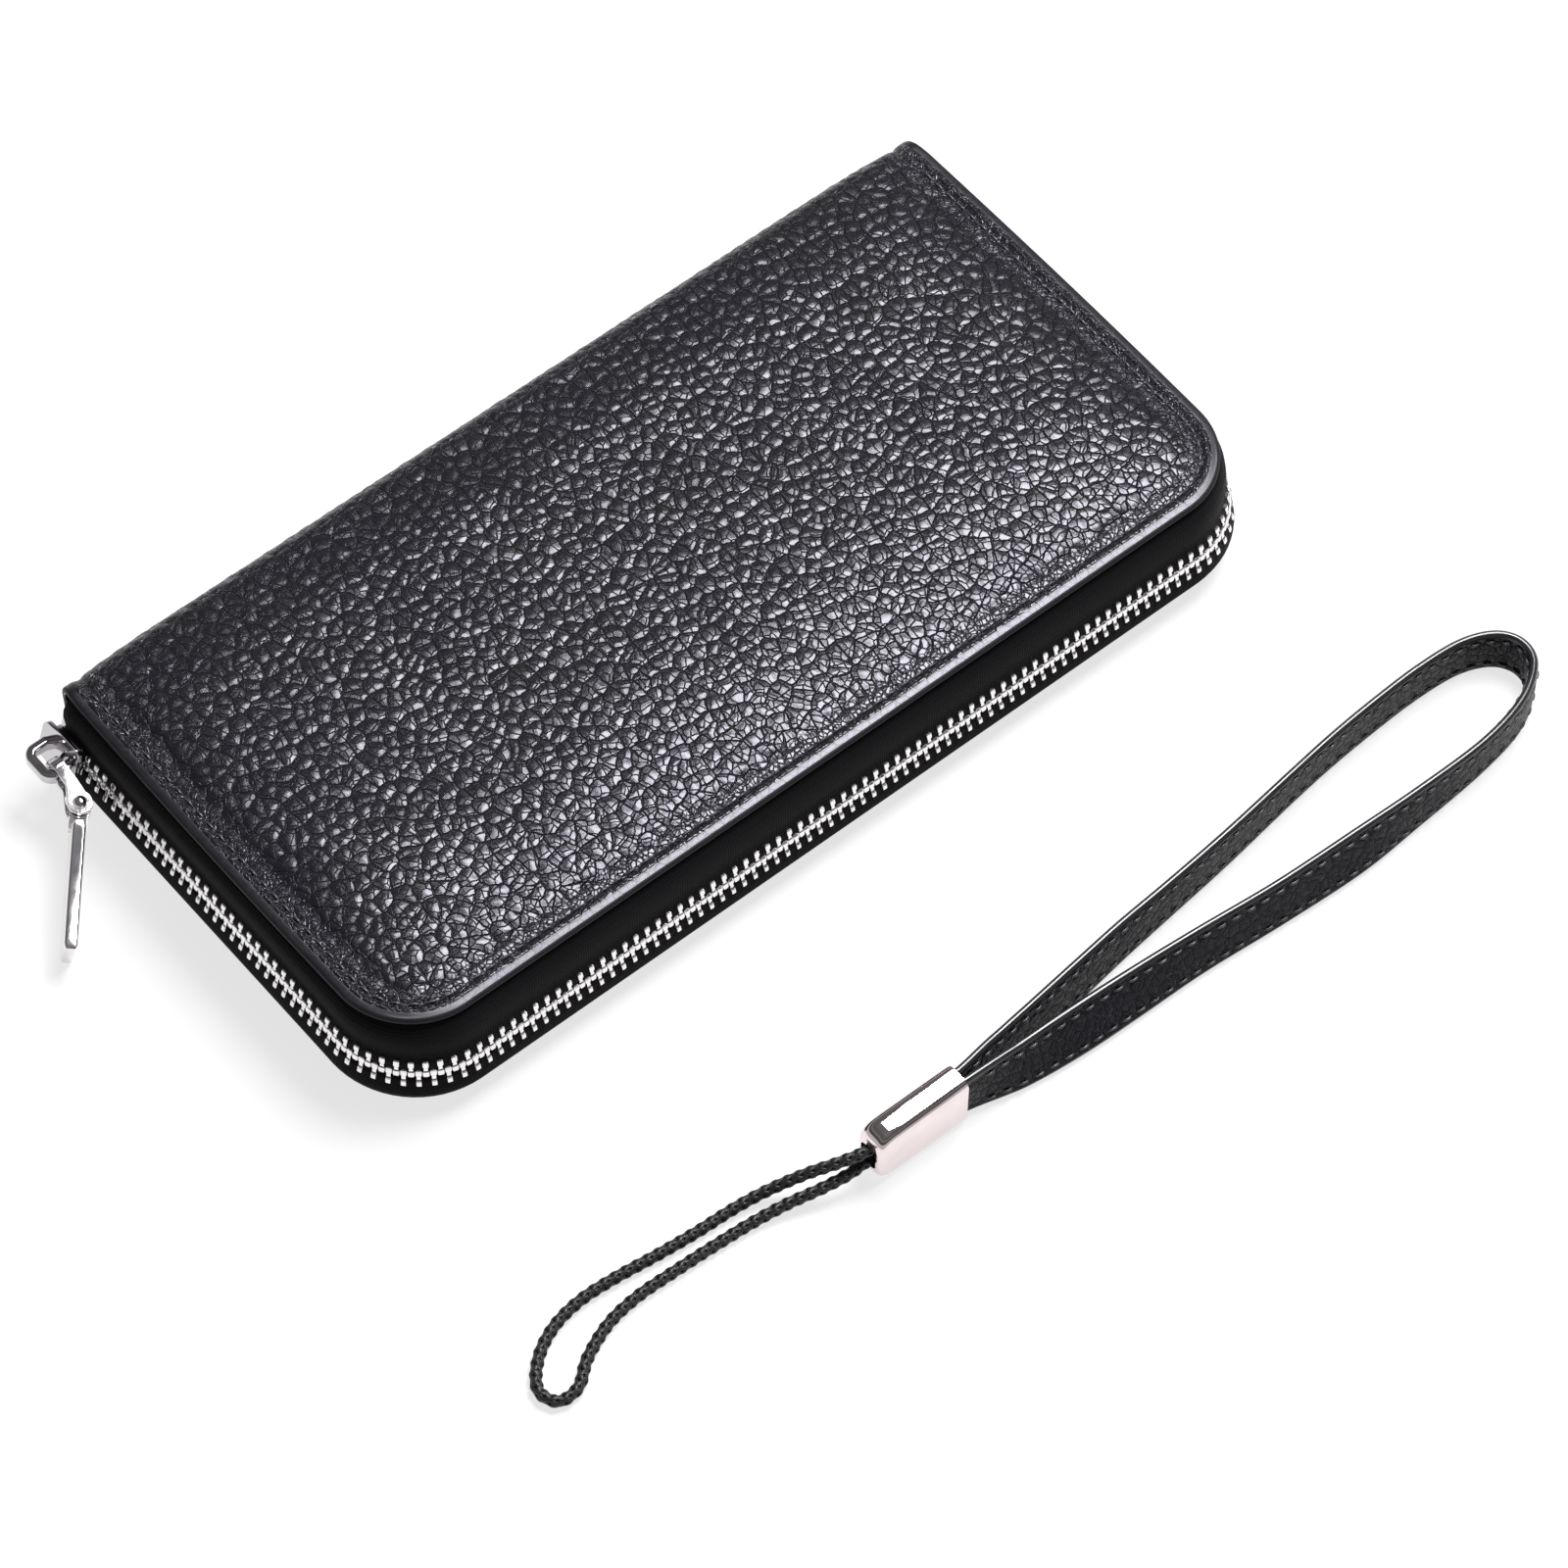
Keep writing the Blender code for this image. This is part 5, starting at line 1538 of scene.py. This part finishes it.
seamIn = insideLook["seamInset"]
for side, body, face in (("bottom", "case", 1), ("top", "top_cover", -1)):
    softPanel(side + "Lining", side + "_lining", body, liningMaterial, 9.5)
    for n in range(1, 5):
        node = f"{side}_card_pocket_{n}"
        low, high = nodeBox(node)
        mouth = low.y + seamIn
        seams = [((low.x + 1, mouth), (high.x - 1, mouth), face)]
        if n == 4:
            # sewn down the middle and both sides
            seams += [((x, mouth), (x, high.y), face) for x in (-0.9, low.x + 1.2, high.x - 1.2)]
        softPanel(f"{side}CardPocket{n}", node, body, pocketMaterial, 1.5, seams)

for name, node, body, both in (
    ("lowerDivider", "lower_divider", "lower_leaf", (1, -1)),
    ("upperDivider", "upper_divider", "upper_leaf", (1, -1)),
    ("coinPocketLowerWall", "coin_pocket_lower_wall", "pocket_leaf", (-1,)),
    ("coinPocketUpperWall", "coin_pocket_upper_wall", "pocket_leaf", (1,)),
):
    seams = [line for s in both for line in seamFrame(node, seamIn, s)]
    piece, wide, deep = softPanel(name, node, body, liningMaterial, 3.0, seams)


def spineLiningPiece():
    # a curved strip of cloth inside the spine, from one lining to the other
    low, high = nodeBox("spine_lining")
    r = cover["foldRadius"] - 1.7
    backY, foldY = high.y, cover["foldY"]
    bend = [(foldY + r * sin(a), low.z + r - r * cos(a)) for a in np.linspace(0, pi / 2, 8)]
    profile = [(low.y, low.z)] + bend
    upper = [(y, low.z + high.z - z) for y, z in profile[::-1]]
    middle = [(backY, z) for z in np.linspace(profile[-1][1], upper[0][1], 8)[1:-1]]
    line = np.array(profile + middle + upper)
    tangent = np.gradient(line, axis=0)
    tangent /= np.linalg.norm(tangent, axis=1)[:, None]
    inward = np.stack([-tangent[:, 1], tangent[:, 0]], -1)
    loops = []
    for x in np.linspace(low.x, high.x, 60):
        wave = 0.05 * sin(x * 0.35)
        outside = [(x, y, z) for y, z in line]
        inside = [(x, y + n[0] * (0.4 + wave), z + n[1] * (0.4 + wave)) for (y, z), n in zip(line, inward)]
        loops.append(outside + inside[::-1])
    piece = solidPiece("spineLiningStrip", [sweptShape(loops)], liningMaterial)
    settle(piece, None, "spine_lining")
    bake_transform(piece)


spineLiningPiece()


def gussetPiece(name, node, sign):
    # a fan-folded wall
    low, high = nodeBox(node)
    centre = (low.x + high.x) / 2
    folds, thick, sway = 8, 0.36, (high.x - low.x) / 2 - 0.25
    levels = np.linspace(low.z, high.z, folds * 8 + 1)
    loops = []
    for y in np.linspace(low.y, high.y, 27):
        outer, inner = [], []
        for z in levels:
            turn = (z - low.z) / (high.z - low.z) * folds * pi
            x = centre + sign * sway * sin(turn) * (0.93 + 0.07 * sin(y * 0.6))
            slope = cos(turn)
            lift = thick / 2 * slope * 0.25
            outer.append((x + thick / 2, y, z + lift))
            inner.append((x - thick / 2, y, z - lift))
        loops.append(outer + inner[::-1])
    piece = solidPiece(name, [sweptShape(loops)], gussetMaterial)
    settle(piece, None, node)
    x = centre * mm
    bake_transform(piece)


gussetPiece("leftGusset", "left_gusset", 1)
gussetPiece("rightGusset", "right_gusset", -1)


def coinZip():
    low, high = nodeBox("coin_zip_teeth")
    shapes = []
    pitch = insideLook["coinPitch"]
    middleZ, half = (low.z + high.z) / 2, (high.z - low.z) / 2
    middleY, deep = (low.y + high.y) / 2, (high.y - low.y) / 2
    levels = [
        (half, 0.26, 0.7), (half - 0.12, 0.36, 0.95), (0.5, 0.34, 0.9), (0.3, 0.27, 0.8),
        (0.0, 0.40, 0.9), (-0.35, 0.38, 0.85), (-0.45, 0.25, 0.6),
    ]
    for direction, shift in ((1, 0.0), (-1, pitch / 2)):
        for x in np.arange(low.x + 0.5 + shift, high.x - 0.5, pitch):
            loops = []
            for up, w, d in levels:
                section = roundedRect(w, deep * d, 0.15, 2)
                loops.append([(x + px, middleY + pz, middleZ + direction * up) for px, pz in section])
            shapes.append(sweptShape(loops))
    settle(solidPiece("coinZipTeeth", shapes, teethMaterial), "pocket_leaf", "coin_zip_teeth")


coinZip()


def coinPull():
    # a small plate with well rounded corners
    low, high = nodeBox("coin_pull")
    middle, half = (low + high) / 2, (high - low) / 2
    outline = roundedRect(half.x, half.z, min(half.x, half.z) * 0.7, 6)
    loops = []
    for t, shrink in ((-1, 0.225), (-0.7, 0.054), (0, 0.0), (0.7, 0.054), (1, 0.225)):
        wide, tall = 1 - shrink / half.x, 1 - shrink / half.z
        y = middle.y + half.y * t
        loops.append([(middle.x + px * wide, y, middle.z + pz * tall) for px, pz in outline])
    piece = solidPiece("coinZipPull", [sweptShape(loops)], pullMaterial)
    settle(piece, "coin_zip_pull", "coin_pull")


coinPull()


def dressNode(node, material):
    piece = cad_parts[node]
    for i in range(len(piece.material_slots)):
        piece.material_slots[i].material = material
    if not piece.material_slots:
        piece.data.materials.append(material)


for node, material in (
    ("coin_slider", sliderMaterial), ("coin_zip_tape", coinTapeMaterial),
    ("bottom_board", boardMaterial), ("top_board", boardMaterial),
):
    dressNode(node, material)
print("inside made")
